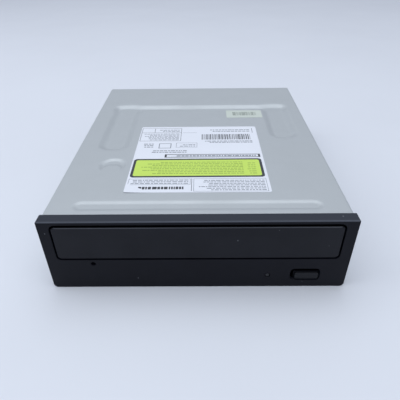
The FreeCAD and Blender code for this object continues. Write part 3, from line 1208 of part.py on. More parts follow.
def cam_slot(side, front, back):
    """The space that a lift pin sweeps through the slider as the slider travels."""
    radius = (S.LiftPinRound + S.CamPlay).value
    start = Vector(side * S.LiftPinX.value, 0, S.LiftPinHeight.value)
    end = start + Vector(-S.SliderTravel.value, 0, -S.TraverseDrop.value)
    along = (end - start).normalize()
    normal = Vector(-along.z, 0, along.x) * radius
    reach = along * radius
    edges = [Part.LineSegment(start + normal, end + normal).toShape(),
             Part.Arc(end + normal, end + reach, end - normal).toShape(),
             Part.LineSegment(end - normal, start - normal).toShape(),
             Part.Arc(start - normal, start - reach, start + normal).toShape()]
    slot = Part.Face(Part.Wire(edges)).extrude(REARWARD * (back - front + 2 * PAST))
    slot.translate(REARWARD * (front - S.Depth.value / 2 - PAST))
    return slot


def boss_depths():
    """How far behind the front face the two rows of rubber bushes lie."""
    return BOSS_FRONT, BASE_BACK - S.BossTail


def boss_places():
    """Where the traverse base is held on its rubber bushes."""
    return [(side * S.BossX, rearwards(depth)) for depth in boss_depths() for side in (-1, 1)]


def pivot_frame():
    """The ring that tilts on two trunnions at the back and is lifted by two pins at the front."""
    body = new_body("PivotFrame")
    half, front, back = S.PivotHalf, rearwards(PIVOT_FRONT), rearwards(PIVOT_DEPTH + S.PivotTail)
    pad(body, outline(body, "XY_Plane", S.PivotBase, oblong((-half, half), (front, back), S.TrayRound)),
        S.PivotTop - S.PivotBase)
    inner, wall = half - S.PivotWall, S.PivotWall
    ring = outline(body, "XY_Plane", S.PivotTop, oblong((-inner, inner), (front + wall, back - wall),
                                                        S.TrayRound))
    pocket(body, ring, S.PivotTop - S.PivotBase + PAST)
    bosses = [rod(S.BossRound, S.PivotBase, S.BossTop - S.PivotBase, x=x, y=y) for x, y in boss_places()]
    bosses += [block(across(side, S.BossX, half - PAST), (rearwards(depth) - S.BossRound / 2,
                                                           rearwards(depth) + S.BossRound / 2),
                     (S.PivotBase, S.BossTop)) for depth in boss_depths() for side in (-1, 1)]
    pins = []
    for side in (-1, 1):
        start, stop = across(side, half - PAST, S.BearingInner + S.BearingThick)
        pins.append(rod(S.TrunnionRound, start, stop - start, LEFTWARD, y=rearwards(PIVOT_DEPTH),
                        z=S.PivotHeight))
        pin_front = rearwards(SLIDER_FRONT + S.SliderRun)
        pins.append(rod(S.LiftPinRound, pin_front, front + PAST - pin_front, REARWARD,
                        x=side * S.LiftPinX, z=S.LiftPinHeight))
    bores = [rod(S.BushBore, S.BossTop - S.DamperScrewReach, S.DamperScrewReach + PAST, x=x, y=y)
             for x, y in boss_places()]
    return node("pivot_frame", cut(fuse(body, *bosses, *pins), *bores))


def damper_bushes():
    """Four rubber bushes, each with a waist that grips the traverse base."""
    bushes = []
    base_top = S.BaseUnder + S.BaseThick
    for x, y in boss_places():
        lower = rod(S.BushRound, S.BossTop, S.BaseUnder - S.BossTop, x=x, y=y)
        waist = rod(S.BushWaist, S.BaseUnder, S.BaseThick, x=x, y=y)
        upper = rod(S.BushRound, base_top, S.BushTop - base_top, x=x, y=y)
        bore = rod(S.BushBore, S.BossTop - PAST, S.BushTop - S.BossTop + 2 * PAST, x=x, y=y)
        bushes.append(cut(fuse(lower, waist, upper), bore))
    return node("damper_bushes", group(*bushes))


def damper_screws():
    """Shoulder screws through the bushes into the pivot frame."""
    reach = S.BushTop - S.BossTop + S.DamperScrewReach
    return node("damper_screws", group(*[
        screw(S.DamperHeadRound, S.DamperHeadThick, S.BushBore, reach, x, y, S.BushTop, points_up=False)
        for x, y in boss_places()]))


def traverse_base():
    """The steel plate that carries the spindle motor, the rods and the feed screw."""
    half, front, back = S.BaseHalf, rearwards(PIVOT_FRONT + S.BaseInset), rearwards(BASE_BACK)
    under, top = S.BaseUnder, S.BaseUnder + S.BaseThick
    sheet = plate("TraversePlate", (-half, half), (front, back), (under, top), S.TrayRound)
    through = (under - PAST, top + PAST)
    way_y = rearwards(SLED_FRONT), rearwards(BASE_BACK - S.SledWayTail)
    way = plate("SledWay", (-S.SledWayHalf, S.SledWayHalf), way_y, through, S.TrayRound)
    notch_y = (rearwards(FEED_FRONT - S.FeedNotchGap),
               rearwards(FEED_FRONT + S.FeedMotorLength + S.FeedNotchGap))
    notch = block((S.FeedNotchInner, half + PAST), notch_y, through)
    sleeve = rod(S.SleeveRound + S.Slip, under - PAST, S.BaseThick + 2 * PAST, x=0,
                 y=rearwards(S.SpindleDepth))
    grips = [rod(S.BushWaist, under - PAST, S.BaseThick + 2 * PAST, x=x, y=y) for x, y in boss_places()]
    return node("traverse_base", cut(sheet, way, notch, sleeve, *grips))


def spindle_parts():
    """The spindle motor's fixed part and all that turns with it, on one upright line."""
    y = rearwards(S.SpindleDepth)
    bore = S.SpindleRound + S.SpindleGap
    base_plate = rod(S.MotorPlateRound, S.BaseUnder - S.MotorPlateThick, S.MotorPlateThick, x=0, y=y)
    sleeve_top = S.CanTop - S.CanWall - S.LevelGap
    sleeve = rod(S.SleeveRound, S.SleeveBase, sleeve_top - S.SleeveBase, x=0, y=y)
    hole = rod(bore, S.SleeveBase + S.Sheet, sleeve_top, x=0, y=y)
    node("spindle_motor_base", cut(fuse(base_plate, sleeve), hole))
    stator = rod(S.StatorRound, S.CanBase + S.LevelGap, S.StatorTop - S.CanBase - S.LevelGap, x=0, y=y)
    slots = []
    count = int(S.StatorSlots.value)
    reach = (S.StatorRound.value + S.SleeveRound.value) / 2 + S.CanWall.value
    for step in range(count):
        angle = math.tau * step / count
        slots.append(rod(S.SpindleRound, S.CanBase - PAST, S.CanTop - S.CanBase + PAST,
                         x=reach * math.cos(angle), y=y + reach * math.sin(angle)))
    inner = rod(S.SleeveRound, S.CanBase - PAST, S.CanTop - S.CanBase + PAST, x=0, y=y)
    node("spindle_stator", cut(stator, inner, *slots))
    shaft_base = S.SleeveBase + S.Sheet + S.Slip
    node("spindle_shaft", rod(S.SpindleRound, shaft_base, S.HubTop - S.MagnetThick - shaft_base, x=0, y=y))
    can = rod(S.CanRound, S.CanBase, S.CanTop - S.CanBase, x=0, y=y)
    inside_deep = S.CanTop - S.CanWall - S.CanBase + PAST
    inside = rod(S.CanRound - S.CanWall, S.CanBase - PAST, inside_deep, x=0, y=y)
    node("spindle_rotor", cut(can, inside, rod(S.SpindleRound, S.CanBase, S.CanTop, x=0, y=y)))
    disk = rod(S.TurntableRound, S.CanTop, S.SeatHeight - S.CanTop, x=0, y=y)
    hub = cone(S.HubRound, S.HubTip, S.SeatHeight, S.HubTop - S.SeatHeight, x=0, y=y)
    groove = ring_of(S.RingInner, S.RingOuter, S.SeatHeight - S.RingSink, S.RingSink + PAST, y)
    magnet_seat = rod(S.MagnetRound, S.HubTop - S.MagnetThick, S.MagnetThick + PAST, x=0, y=y)
    shaft_hole = rod(S.SpindleRound, S.CanTop - PAST, S.HubTop - S.CanTop, x=0, y=y)
    node("turntable", cut(fuse(disk, hub), groove, magnet_seat, shaft_hole))
    node("turntable_ring", ring_of(S.RingInner, S.RingOuter, S.SeatHeight - S.RingSink,
                                   S.RingSink + S.RingRise, y))
    node("hub_magnet", rod(S.MagnetRound, S.HubTop - S.MagnetThick, S.MagnetThick, x=0, y=y))


def ring_of(inner, outer, base, height, y):
    """A flat ring on the spindle's line."""
    return cut(rod(outer, base, height, x=0, y=y), rod(inner, base - PAST, height + 2 * PAST, x=0, y=y))


def guide_rods():
    """The two ground steel rods that the pickup slides on."""
    return node("guide_rods", group(*[
        rod(S.RodRound, rearwards(ROD_FRONT), ROD_BACK - ROD_FRONT, REARWARD, x=side * S.RodX,
            z=S.RodHeight) for side in (-1, 1)]))


def rod_clamps():
    """Blocks under the traverse base that hold the ends of the guide rods."""
    clamps = []
    for side in (-1, 1):
        for start in (ROD_FRONT, ROD_BACK - S.ClampThick):
            seat = block((side * S.RodX - S.ClampHalf, side * S.RodX + S.ClampHalf),
                         (rearwards(start), rearwards(start + S.ClampThick)), (S.ClampBase, S.BaseUnder))
            clamps.append(cut(seat, rod(S.RodRound, rearwards(start - PAST), S.ClampThick + 2 * PAST,
                                        REARWARD, x=side * S.RodX, z=S.RodHeight)))
    return node("rod_clamps", group(*clamps))


def feed_parts():
    """The feed motor, its lead screw and the bearing at the screw's far end."""
    front, length = FEED_FRONT, S.FeedMotorLength
    can = rod(S.FeedMotorRound, rearwards(front), length, REARWARD, x=S.ScrewX, z=S.RodHeight)
    bracket = block((S.ScrewX - S.FeedMotorRound / 2, S.ScrewX + S.FeedMotorRound / 2),
                    (rearwards(front + length - S.BaseThick), rearwards(front + length)),
                    (S.RodHeight, S.BaseUnder + S.BaseThick))
    node("feed_motor", fuse(can, bracket))
    start = front + length + S.Slip
    thread = rod(S.ScrewRound, rearwards(start), SCREW_BACK - start, REARWARD, x=S.ScrewX, z=S.RodHeight)
    end = rod(S.ScrewEnd, rearwards(SCREW_BACK), S.ScrewBearing, REARWARD, x=S.ScrewX, z=S.RodHeight)
    node("lead_screw", fuse(thread, end))
    bearing_front = SCREW_BACK + S.Slip
    seat = block((S.ScrewX - S.ScrewBearingHalf, S.ScrewX + S.ScrewBearingHalf),
                 (rearwards(bearing_front), rearwards(bearing_front + S.ScrewBearing)),
                 (S.RodHeight - S.ScrewBearingHalf, S.BaseUnder))
    bore = rod(S.ScrewEnd + S.RodGap, rearwards(bearing_front - PAST), S.ScrewBearing + 2 * PAST, REARWARD,
               x=S.ScrewX, z=S.RodHeight)
    node("screw_bearing", cut(seat, bore))


def pickup_parts():
    """The pickup: an open cast base with rod ears, its lid, laser, lens yoke and feed nut."""
    front, back = rearwards(SLED_FRONT), rearwards(SLED_BACK)
    half, wall = S.SledHalf, S.SledWall
    base = plate("PickupBody", (-half, half), (front, back), (S.SledBase, S.SledTop), S.TrayRound)
    hollow = block((-half + wall, half - wall), (front + wall, back - wall),
                   (S.SledBase + S.SledFloor, S.SledTop + PAST))
    ears, bores = [], []
    for side in (-1, 1):
        for start in (front, back - S.EarLength):
            ears.append(block(across(side, half - wall / 2, S.EarOuter), (start, start + S.EarLength),
                              (S.EarBase, S.EarTop)))
        bores.append(rod(S.RodRound + S.RodGap, front - PAST, back - front + 2 * PAST, REARWARD,
                         x=side * S.RodX, z=S.RodHeight))
    node("pickup_base", cut(fuse(cut(base, hollow), *ears), *bores))
    nut_near, nut_far = S.EarOuter, S.ScrewX - S.ScrewRound - S.NutGap
    node("lead_nut", block((nut_near, nut_far), (front, front + S.EarLength),
                           (S.RodHeight - S.NutHeight / 2, S.RodHeight + S.NutHeight / 2)))
    lens_y = rearwards(LENS_DEPTH)
    head_front, head_back = lens_y - S.HeadHalfDepth, lens_y + S.HeadHalfDepth
    lid = block((-half, half), (front, back), (S.SledTop, S.SledTop + S.PickupLid))
    window = block((-S.HeadHalf, S.HeadHalf), (head_front, head_back),
                   (S.SledTop - PAST, S.SledTop + PAST))
    node("pickup_cover", cut(lid, window))
    floor = S.SledBase + S.SledFloor
    yoke = block((-S.HeadHalf, S.HeadHalf), (head_front, head_back), (floor, S.HeadTop))
    slack = S.YokeGap
    well = block((-S.HolderHalf - slack, S.HolderHalf + slack),
                 (lens_y - S.HolderHalfDepth - slack, lens_y + S.HolderHalfDepth + slack),
                 (S.HolderBase - S.FocusTravel - slack, S.HeadTop + PAST))
    node("lens_yoke", cut(yoke, well))
    laser_front = head_back + S.Slip
    node("laser_module", block((-S.LaserHalf, S.LaserHalf), (laser_front, laser_front + S.LaserLength),
                               (floor, floor + S.LaserHeight)))
    holder = plate("LensHolder", (-S.HolderHalf, S.HolderHalf),
                   (lens_y - S.HolderHalfDepth, lens_y + S.HolderHalfDepth),
                   (S.HolderBase, S.HolderTop), S.HolderRound)
    lens_places = [(side * S.LensPitch / 2, lens_y) for side in (-1, 1)]
    seats = [rod(S.LensRound, S.HolderTop - S.LensBore, S.LensBore + PAST, x=x, y=y)
             for x, y in lens_places]
    node("lens_holder", cut(holder, *seats))
    node("lenses", group(*[rod(S.LensRound, S.HolderTop - S.LensBore, S.LensBore + S.LensProud, x=x, y=y)
                           for x, y in lens_places]))


def main_board():
    """The main board, its chips with thermal pads below, capacitors and screws."""
    base, top = S.BoardBase, S.BoardBase + S.BoardThick
    front, back = rearwards(BOARD_FRONT), rearwards(BOARD_BACK)
    board = plate("MainBoard", (-BOARD_HALF, BOARD_HALF), (front, back), (base, top), S.Sheet)
    notches = [rod(S.BoardNotch, base - PAST, S.BoardThick + 2 * PAST, x=x, y=y)
               for x, y in cover_screw_places()[2:]]
    inner = FRAME_INNER
    screw_y = rearwards(BOARD_FRONT + S.BoardLugLength / 2)
    screw_places = [(side * (inner - S.BoardLugWidth / 2), screw_y) for side in (-1, 1)]
    holes = [rod(S.BridgeScrewRound, base - PAST, S.BoardThick + 2 * PAST, x=x, y=y)
             for x, y in screw_places]
    node("main_board", cut(board, *notches, *holes))
    node("board_screws", group(*[
        screw(S.BridgeHeadRound, S.BridgeHeadThick, S.BridgeScrewRound,
              S.BoardThick + S.BoardLugThick, x, y, base - S.BridgeHeadThick, points_up=True)
        for x, y in screw_places]))
    chips, pads = [], []
    y = rearwards(BOARD_FRONT + S.ChipRow)
    for x, size in ((-S.ChipX, S.BigChip), (0, S.SmallChip), (S.ChipX, S.BigChip)):
        square = (as_size(x) - size / 2, as_size(x) + size / 2), (y - size / 2, y + size / 2)
        chips.append(block(*square, (base - S.ChipThick, base)))
        pads.append(block(*square, (FLOOR_TOP, base - S.ChipThick)))
    node("main_chips", group(*chips))
    node("thermal_pads", group(*pads))
    node("capacitors", group(*[
        rod(S.CapRound, top, S.CapHeight, x=S.CapSide - BOARD_HALF,
            y=rearwards(BOARD_FRONT + S.CapRow + S.CapPitch * step))
        for step in range(int(S.CapCount.value))]))


def connector():
    """The rear connector: a housing with a data and a power cavity, each with its contact tongue."""
    left, right = plug_sides()
    base = S.BoardBase + S.BoardThick
    top, back = base + S.PlugHeight, rearwards(S.Depth)
    front = back - S.PlugDepth
    wall = S.PlugWall
    shell = block((left, right), (front, back), (base, top))
    split = right - wall - S.DataWidth
    cavities = (((split, right - wall), "data"), ((left + wall, split - S.PlugSplit), "power"))
    mouths, tongues, contacts = [], [], []
    tongue_base = base + S.PlugHeight / 2
    for (low, high), kind in cavities:
        mouths.append(block((low, high), (back - S.PlugCavity, back + PAST), (base + wall, top - wall)))
        inset = S.TongueBoard
        tongues.append(block((low + inset, high - inset), (back - S.PlugCavity, back - S.PlugSplit / 2),
                             (tongue_base, tongue_base + S.TongueBoard)))
        count = int((S.DataContacts if kind == "data" else S.PowerContacts).value)
        middle = (low + high) / 2
        for step in range(count):
            x = middle + (step - (count - 1) / 2) * S.ContactPitch
            contacts.append(block((x - S.ContactWidth / 2, x + S.ContactWidth / 2),
                                  (back - S.PlugCavity, back - S.PlugSplit),
                                  (tongue_base - S.ContactThick, tongue_base)))
    node("rear_connector", fuse(cut(shell, *mouths), *tongues))
    node("connector_contacts", group(*contacts))


def front_board_parts():
    """The small board behind the bezel: eject switch, plunger, status light and its light pipe."""
    base, top = S.FrontBoardBase, S.FrontBoardBase + S.FrontBoardThick
    front, back = rearwards(S.FrontBoardFront), rearwards(S.FrontBoardBack)
    board_x = LIGHT_X - S.FrontBoardLeft, BUTTON_X + S.FrontBoardRight
    node("front_board", block(board_x, (front, back), (base, top)))
    switch_front = rearwards(S.SwitchFront)
    plunger_height = S.ButtonBase + S.ButtonHeight / 2
    switch = block((BUTTON_X - S.SwitchHalf, BUTTON_X + S.SwitchHalf),
                   (switch_front, switch_front + S.SwitchDepth), (top, top + S.SwitchHeight))
    bore_depth = S.PlungerSink + S.ButtonTravel + S.PlungerGap * 2
    bore = rod(S.PlungerRound + S.PlungerGap, switch_front - PAST, bore_depth + PAST, REARWARD,
               x=BUTTON_X, z=plunger_height)
    node("eject_switch", cut(switch, bore))
    node("switch_plunger", rod(S.PlungerRound, switch_front - S.PlungerReach,
                               S.PlungerReach + S.PlungerSink, REARWARD, x=BUTTON_X, z=plunger_height))
    led_front = rearwards(S.LedFront)
    node("status_light", block((LIGHT_X - S.LedHalf, LIGHT_X + S.LedHalf),
                               (led_front, led_front + S.LedDepth), (top, top + S.LedHeight)))
    pipe_base = top + S.LedHeight + S.PipeGap
    pipe = rod(S.LightRound, rearwards(S.LightRecess), S.LedFront + S.LedDepth / 2 - S.LightRecess,
               REARWARD, x=LIGHT_X, z=S.LightHeight)
    foot = block((LIGHT_X - S.LedHalf, LIGHT_X + S.LedHalf), (led_front, led_front + S.LedDepth),
                 (pipe_base, S.LightHeight + S.LightRound))
    node("light_pipe", fuse(pipe, foot))
    sides = (FRONT_POST_X - S.RibbonWidth / 2, FRONT_POST_X + S.RibbonWidth / 2)
    near_socket = block(sides, (back - S.SocketDepth, back), (S.RibbonBase + S.RibbonThick, base))
    board_front = rearwards(BOARD_FRONT)
    far_socket = block(sides, (board_front, board_front + S.SocketDepth),
                       (S.RibbonBase + S.RibbonThick, S.BoardBase))
    node("ribbon_sockets", group(near_socket, far_socket))
    node("front_ribbon", block(sides, (back - S.SocketDepth, board_front + S.SocketDepth),
                               (S.RibbonBase, S.RibbonBase + S.RibbonThick)))


def pickup_ribbon():
    """The flat ribbon that loops from the main board up to the pickup and follows its travel."""
    low, high = S.BoardBase + S.BoardThick, S.SledBase
    thick = S.FlexThick
    radius = (high - low).value / 2
    start = rearwards(SLED_BACK - S.EarLength)
    bend = start + (rearwards(PIVOT_DEPTH) - start) * S.FlexShare
    x, width = -S.FlexX.value - S.FlexWidth.value / 2, S.FlexWidth.value
    outer = flex_face(start.value, bend.value, low.value, high.value, radius)
    inner = flex_face(start.value - PAST, bend.value, low.value + thick.value, high.value - thick.value,
                      radius - thick.value)
    loop = outer.cut(inner).extrude(LEFTWARD * width)
    loop.translate(LEFTWARD * x)
    return node("pickup_ribbon", solid_of(loop))


def flex_face(start, bend, low, high, radius):
    """The area inside a flat ribbon's loop, seen from the side."""
    rear = Vector(0, bend + radius, (low + high) / 2)
    edges = [Part.LineSegment(Vector(0, start, low), Vector(0, bend, low)).toShape(),
             Part.Arc(Vector(0, bend, low), rear, Vector(0, bend, high)).toShape(),
             Part.LineSegment(Vector(0, bend, high), Vector(0, start, high)).toShape(),
             Part.LineSegment(Vector(0, start, high), Vector(0, start, low)).toShape()]
    return Part.Face(Part.Wire(edges))


def faults():
    """What is wrong with any object or sub-part, in words."""
    found = [f"{thing.Label}: {thing.State}" for thing in DOC.Objects
             if "Invalid" in thing.State or "Error" in thing.State]
    for piece in NODES:
        if piece.Shape.isNull() or not piece.Shape.isValid():
            found.append(f"{piece.Label}: its shape is null or not valid")
    return found


def main():
    """Build every sub-part, check them all and write each to its file."""
    top_cover()
    bottom_cover()
    cover_screws()
    front_bezel()
    tray_front()
    eject_button()
    labels()
    disc_tray()
    gear_train()
    motor_shaft()
    drive_belt()
    loading_motor()
    loader_frame()
    clamper_bridge()
    bridge_screws()
    clamper()
    cam_slider()
    pivot_frame()
    damper_bushes()
    damper_screws()
    traverse_base()
    spindle_parts()
    guide_rods()
    rod_clamps()
    feed_parts()
    pickup_parts()
    main_board()
    connector()
    front_board_parts()
    pickup_ribbon()
    DOC.recompute()
    wrong = faults()
    if wrong:
        raise SystemExit("\n".join(wrong))
    os.makedirs("parts", exist_ok=True)
    for piece in NODES:
        piece.Shape.exportStep(f"parts/{piece.Label}.step")
    print(f"{len(NODES)} sub-parts written")


main()
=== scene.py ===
"""Dressed model of an internal optical disc drive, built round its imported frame.

X is to the right seen from the front, Y to the rear and Z up, in metres. Sizes in the constants and the
classes are in millimetres, their angles in degrees, and depths are measured from the front face of the
bezel. The camera's own angles are in radians.
"""
import logging
import math
import random
from collections.abc import Callable, Iterable
from dataclasses import dataclass, field
from enum import Enum

import bmesh
import bpy
from mathutils import Matrix, Vector


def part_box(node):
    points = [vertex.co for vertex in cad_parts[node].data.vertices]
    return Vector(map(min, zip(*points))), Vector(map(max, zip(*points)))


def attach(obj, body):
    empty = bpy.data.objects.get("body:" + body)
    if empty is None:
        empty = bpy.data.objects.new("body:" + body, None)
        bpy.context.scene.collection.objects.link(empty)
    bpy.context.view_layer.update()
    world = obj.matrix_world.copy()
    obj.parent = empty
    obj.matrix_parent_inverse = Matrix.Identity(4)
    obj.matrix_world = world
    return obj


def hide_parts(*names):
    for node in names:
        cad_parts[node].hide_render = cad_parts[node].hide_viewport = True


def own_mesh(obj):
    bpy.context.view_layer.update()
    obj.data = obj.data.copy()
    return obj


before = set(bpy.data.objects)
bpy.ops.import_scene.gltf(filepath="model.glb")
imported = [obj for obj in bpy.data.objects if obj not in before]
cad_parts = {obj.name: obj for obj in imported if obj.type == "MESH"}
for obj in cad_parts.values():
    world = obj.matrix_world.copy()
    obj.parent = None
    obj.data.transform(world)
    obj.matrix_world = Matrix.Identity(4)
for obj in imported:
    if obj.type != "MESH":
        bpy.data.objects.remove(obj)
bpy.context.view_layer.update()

LOG = logging.getLogger("drive")
MM = 0.001
FACE_Y = -90.0
ROOF_TOP = 41.8
BOARD_TOP = 5.4
NEAR = 0.01
SAME_POINT = 0.001
SAME_EDGE = 0.002
FLAT_ANGLE = 1.0
FACING = 0.9
INK_SINK = 0.01
MIX_AMOUNT, MIX_FIRST, MIX_SECOND, MIX_COLOUR = 0, 6, 7, 2

Point = tuple[float, float, float]
Colour = tuple[float, float, float]
Box = tuple[float, float, float, float]
Item = bpy.types.Object
Tree = bpy.types.NodeTree
Node = bpy.types.Node
Socket = bpy.types.NodeSocket


def behind(depth: float) -> float:
    """The Y in millimetres of something this far behind the bezel's face."""
    return FACE_Y + depth


# Modelling steps


def deselect() -> None:
    """Leave edit mode and select nothing."""
    if bpy.context.mode != "OBJECT":
        bpy.ops.object.mode_set(mode="OBJECT")
    bpy.ops.object.select_all(action="DESELECT")


def pick(*objects: Item) -> None:
    """Select these objects alone and make the first active.

    Args:
        objects: the objects to select.
    """
    deselect()
    for item in objects:
        item.select_set(True)
    bpy.context.view_layer.objects.active = objects[0]


def settle(item: Item) -> Item:
    """Put an object's place, turn and scale into its mesh.

    Args:
        item: the object to settle.

    Returns:
        The same object, at the origin.
    """
    pick(item)
    bpy.ops.object.transform_apply(location=True, rotation=True, scale=True)
    return item


def block(name: str, low: Point, high: Point) -> Item:
    """A cube primitive stretched between two corners.

    Args:
        name: the new object's name.
        low: the lowest corner, mm.
        high: the highest corner, mm.

    Returns:
        The new object, settled.
    """
    deselect()
    middle = [(a + b) / 2 * MM for a, b in zip(low, high)]
    bpy.ops.mesh.primitive_cube_add(size=1, location=middle)
    item = bpy.context.active_object
    item.name = name
    item.scale = [(b - a) * MM for a, b in zip(low, high)]
    return settle(item)


def drum(name: str, radius: float, start: Point, length: float, along: str = "Z",
         sides: int = 48) -> Item:
    """A cylinder primitive that starts at a point.

    Args:
        name: the new object's name.
        radius: its radius, mm.
        start: the middle of its first face, mm.
        length: its length, mm.
        along: the axis that it runs along.
        sides: how many sides it has.

    Returns:
        The new object, settled.
    """
    deselect()
    turn = {"X": (0, math.pi / 2, 0), "Y": (-math.pi / 2, 0, 0), "Z": (0, 0, 0)}[along]
    middle = [value * MM for value in start]
    middle["XYZ".index(along)] += length / 2 * MM
    bpy.ops.mesh.primitive_cylinder_add(vertices=sides, radius=radius * MM, depth=length * MM,
                                        location=middle, rotation=turn)
    item = bpy.context.active_object
    item.name = name
    return settle(item)


def select_in(item: Item, kind: str, wanted: Callable[..., bool]) -> None:
    """Enter edit mode with only the wanted faces or edges selected.

    Args:
        item: the mesh object.
        kind: FACE or EDGE.
        wanted: says whether one of them is selected.
    """
    pick(item)
    bpy.ops.object.mode_set(mode="EDIT")
    bpy.ops.mesh.select_mode(type=kind)
    bpy.ops.mesh.select_all(action="DESELECT")
    form = bmesh.from_edit_mesh(item.data)
    for element in form.faces if kind == "FACE" else form.edges:
        element.select_set(wanted(element))
    bmesh.update_edit_mesh(item.data)


def leave_edit() -> None:
    """Go back to object mode."""
    bpy.ops.object.mode_set(mode="OBJECT")


def round_edges(item: Item, wanted: Callable[[bmesh.types.BMEdge], bool], width: float,
                segments: int) -> None:
    """Round the wanted edges and no others.

    Args:
        item: the mesh object.
        wanted: says whether an edge is rounded.
        width: how much is rounded, mm.
        segments: how many steps the round has.
    """
    select_in(item, "EDGE", wanted)
    bpy.ops.mesh.bevel(offset=width * MM, segments=segments, affect="EDGES")
    leave_edit()


def span(edge: bmesh.types.BMEdge) -> Vector:
    """From one end of an edge to the other."""
    return edge.verts[0].co - edge.verts[1].co


def plate(name: str, box: Box, low: float, high: float, corner: float) -> Item:
    """A flat plate with rounded corners.

    Args:
        name: the new object's name.
        box: its first and last X and depth, mm.
        low: the height of its underside, mm.
        high: the height of its upper side, mm.
        corner: the radius of its corners, mm.

    Returns:
        The plate.
    """
    left, right, near, far = box
    item = block(name, (left, behind(near), low), (right, behind(far), high))
    round_edges(item, lambda edge: abs(span(edge).z) > (high - low) / 2 * MM, corner, segments=5)
    return item


def add_modifier(item: Item, kind: str, **settings: object) -> None:
    """Add a modifier and apply it.

    Args:
        item: the mesh object.
        kind: the modifier's type.
        settings: its settings by name.
    """
    pick(item)
    modifier = item.modifiers.new(kind.title(), kind)
    for name, value in settings.items():
        setattr(modifier, name, value)
    bpy.ops.object.modifier_apply(modifier=modifier.name)


def ease_edges(item: Item, width: float, segments: int = 2, angle: float = 40.0) -> None:
    """Round every edge that is sharper than an angle.

    Args:
        item: the mesh object.
        width: how much is rounded, mm.
        segments: how many steps the round has.
        angle: the least angle of an edge that is rounded, degrees.
    """
    add_modifier(item, "BEVEL", width=width * MM, segments=segments, limit_method="ANGLE",
                 angle_limit=math.radians(angle), harden_normals=False, use_clamp_overlap=True)


def smooth(item: Item, angle: float = 35.0) -> None:
    """Shade a mesh smooth but for edges sharper than an angle, in degrees."""
    pick(item)
    bpy.ops.object.shade_smooth_by_angle(angle=math.radians(angle))


def face_outwards(item: Item) -> None:
    """Merge a mesh's doubles and turn its faces outwards."""
    select_in(item, "FACE", lambda face: True)
    bpy.ops.mesh.remove_doubles(threshold=SAME_EDGE * MM)
    bpy.ops.mesh.normals_make_consistent(inside=False)
    leave_edit()


def join(name: str, items: list[Item]) -> Item:
    """Make one object of several.

    Args:
        name: the joined object's name.
        items: the objects to join.

    Returns:
        The joined object.
    """
    pick(*items)
    if len(items) > 1:
        bpy.ops.object.join()
    items[0].name = name
    return items[0]


def copy_of(item: Item, name: str, shift: Point = (0, 0, 0)) -> Item:
    """A copy of an object with its own mesh.

    Args:
        item: what is copied.
        name: the copy's name.
        shift: how far it is moved, mm.

    Returns:
        The copy, settled.
    """
    twin = item.copy()
    twin.data = item.data.copy()
    twin.name = name
    bpy.context.scene.collection.objects.link(twin)
    twin.location = [value * MM for value in shift]
    return settle(twin)


def moulding_from(node: str, name: str, round_by: float, segments: int = 2) -> Item:
    """A copy of a frame node with its triangles merged into flat faces and its edges eased.

    Args:
        node: the frame node that is copied.
        name: the new piece's name.
        round_by: how far its sharp edges are rounded, mm.
        segments: how many steps each round has.

    Returns:
        The new piece, not yet riding on anything.
    """
    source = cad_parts[node]
    twin = source.copy()
    twin.data = source.data.copy()
    twin.name = name
    twin.parent = None
    twin.matrix_world = Matrix.Identity(4)
    bpy.context.scene.collection.objects.link(twin)
    twin.hide_render = False
    select_in(twin, "FACE", lambda face: True)
    bpy.ops.mesh.remove_doubles(threshold=SAME_POINT * MM)
    bpy.ops.mesh.dissolve_limited(angle_limit=math.radians(FLAT_ANGLE))
    leave_edit()
    if round_by > 0:
        finish_moulding(twin, round_by, segments)
    return twin


def finish_moulding(item: Item, round_by: float, segments: int = 2) -> None:
    """Round a moulding's edges and shade it so that its flats stay flat.

    Args:
        item: the moulding.
        round_by: how far its sharp edges are rounded, mm.
        segments: how many steps each round has.
    """
    ease_edges(item, round_by, segments)
    smooth(item)
    add_modifier(item, "WEIGHTED_NORMAL", weight=100, keep_sharp=True)


# Finishes


class Lay(Enum):
    """How a finish's fine texture lies on its surface."""

    EVEN = "even"
    BRUSHED_X = "brushed across"
    BRUSHED_Y = "brushed along"


def new_group(name: str, inputs: dict[str, tuple[str, object]],
              outputs: dict[str, str]) -> tuple[Tree, Node, Node]:
    """An empty shader node group with its sockets.

    Args:
        name: the group's name.
        inputs: each input's kind and first value by name.
        outputs: each output's kind by name.

    Returns:
        The group, its input node and its output node.
    """
    tree = bpy.data.node_groups.new(name, "ShaderNodeTree")
    for label, (kind, value) in inputs.items():
        socket = tree.interface.new_socket(label, in_out="INPUT", socket_type=kind)
        if value is not None:
            socket.default_value = value
    for label, kind in outputs.items():
        tree.interface.new_socket(label, in_out="OUTPUT", socket_type=kind)
    return tree, tree.nodes.new("NodeGroupInput"), tree.nodes.new("NodeGroupOutput")


def feed(tree: Tree, node: Node, inputs: dict[str | int, object]) -> None:
    """Link or set some inputs of a node.

    Args:
        tree: the node tree.
        node: the node.
        inputs: sockets, numbers, colours or vectors by the input's name or place.
    """
    for name, value in inputs.items():
        socket = node.inputs[name]
        if isinstance(value, Socket):
            tree.links.new(value, socket)
        elif isinstance(value, (int, float)):
            socket.default_value = value
        else:
            socket.default_value = (*value, 1.0)[:len(socket.default_value)]


def add_node(tree: Tree, kind: str, inputs: dict[str | int, object], **settings: object) -> Node:
    """Add a shader node.

    Args:
        tree: the node tree.
        kind: the node's type.
        inputs: what its inputs are fed with.
        settings: its own settings by name.

    Returns:
        The node.
    """
    node = tree.nodes.new(kind)
    for name, value in settings.items():
        setattr(node, name, value)
    feed(tree, node, inputs)
    return node


def math_node(tree: Tree, kind: str, first: object, second: object) -> Socket:
    """The result of a math node fed by sockets or numbers."""
    return add_node(tree, "ShaderNodeMath", {0: first, 1: second}, operation=kind).outputs[0]


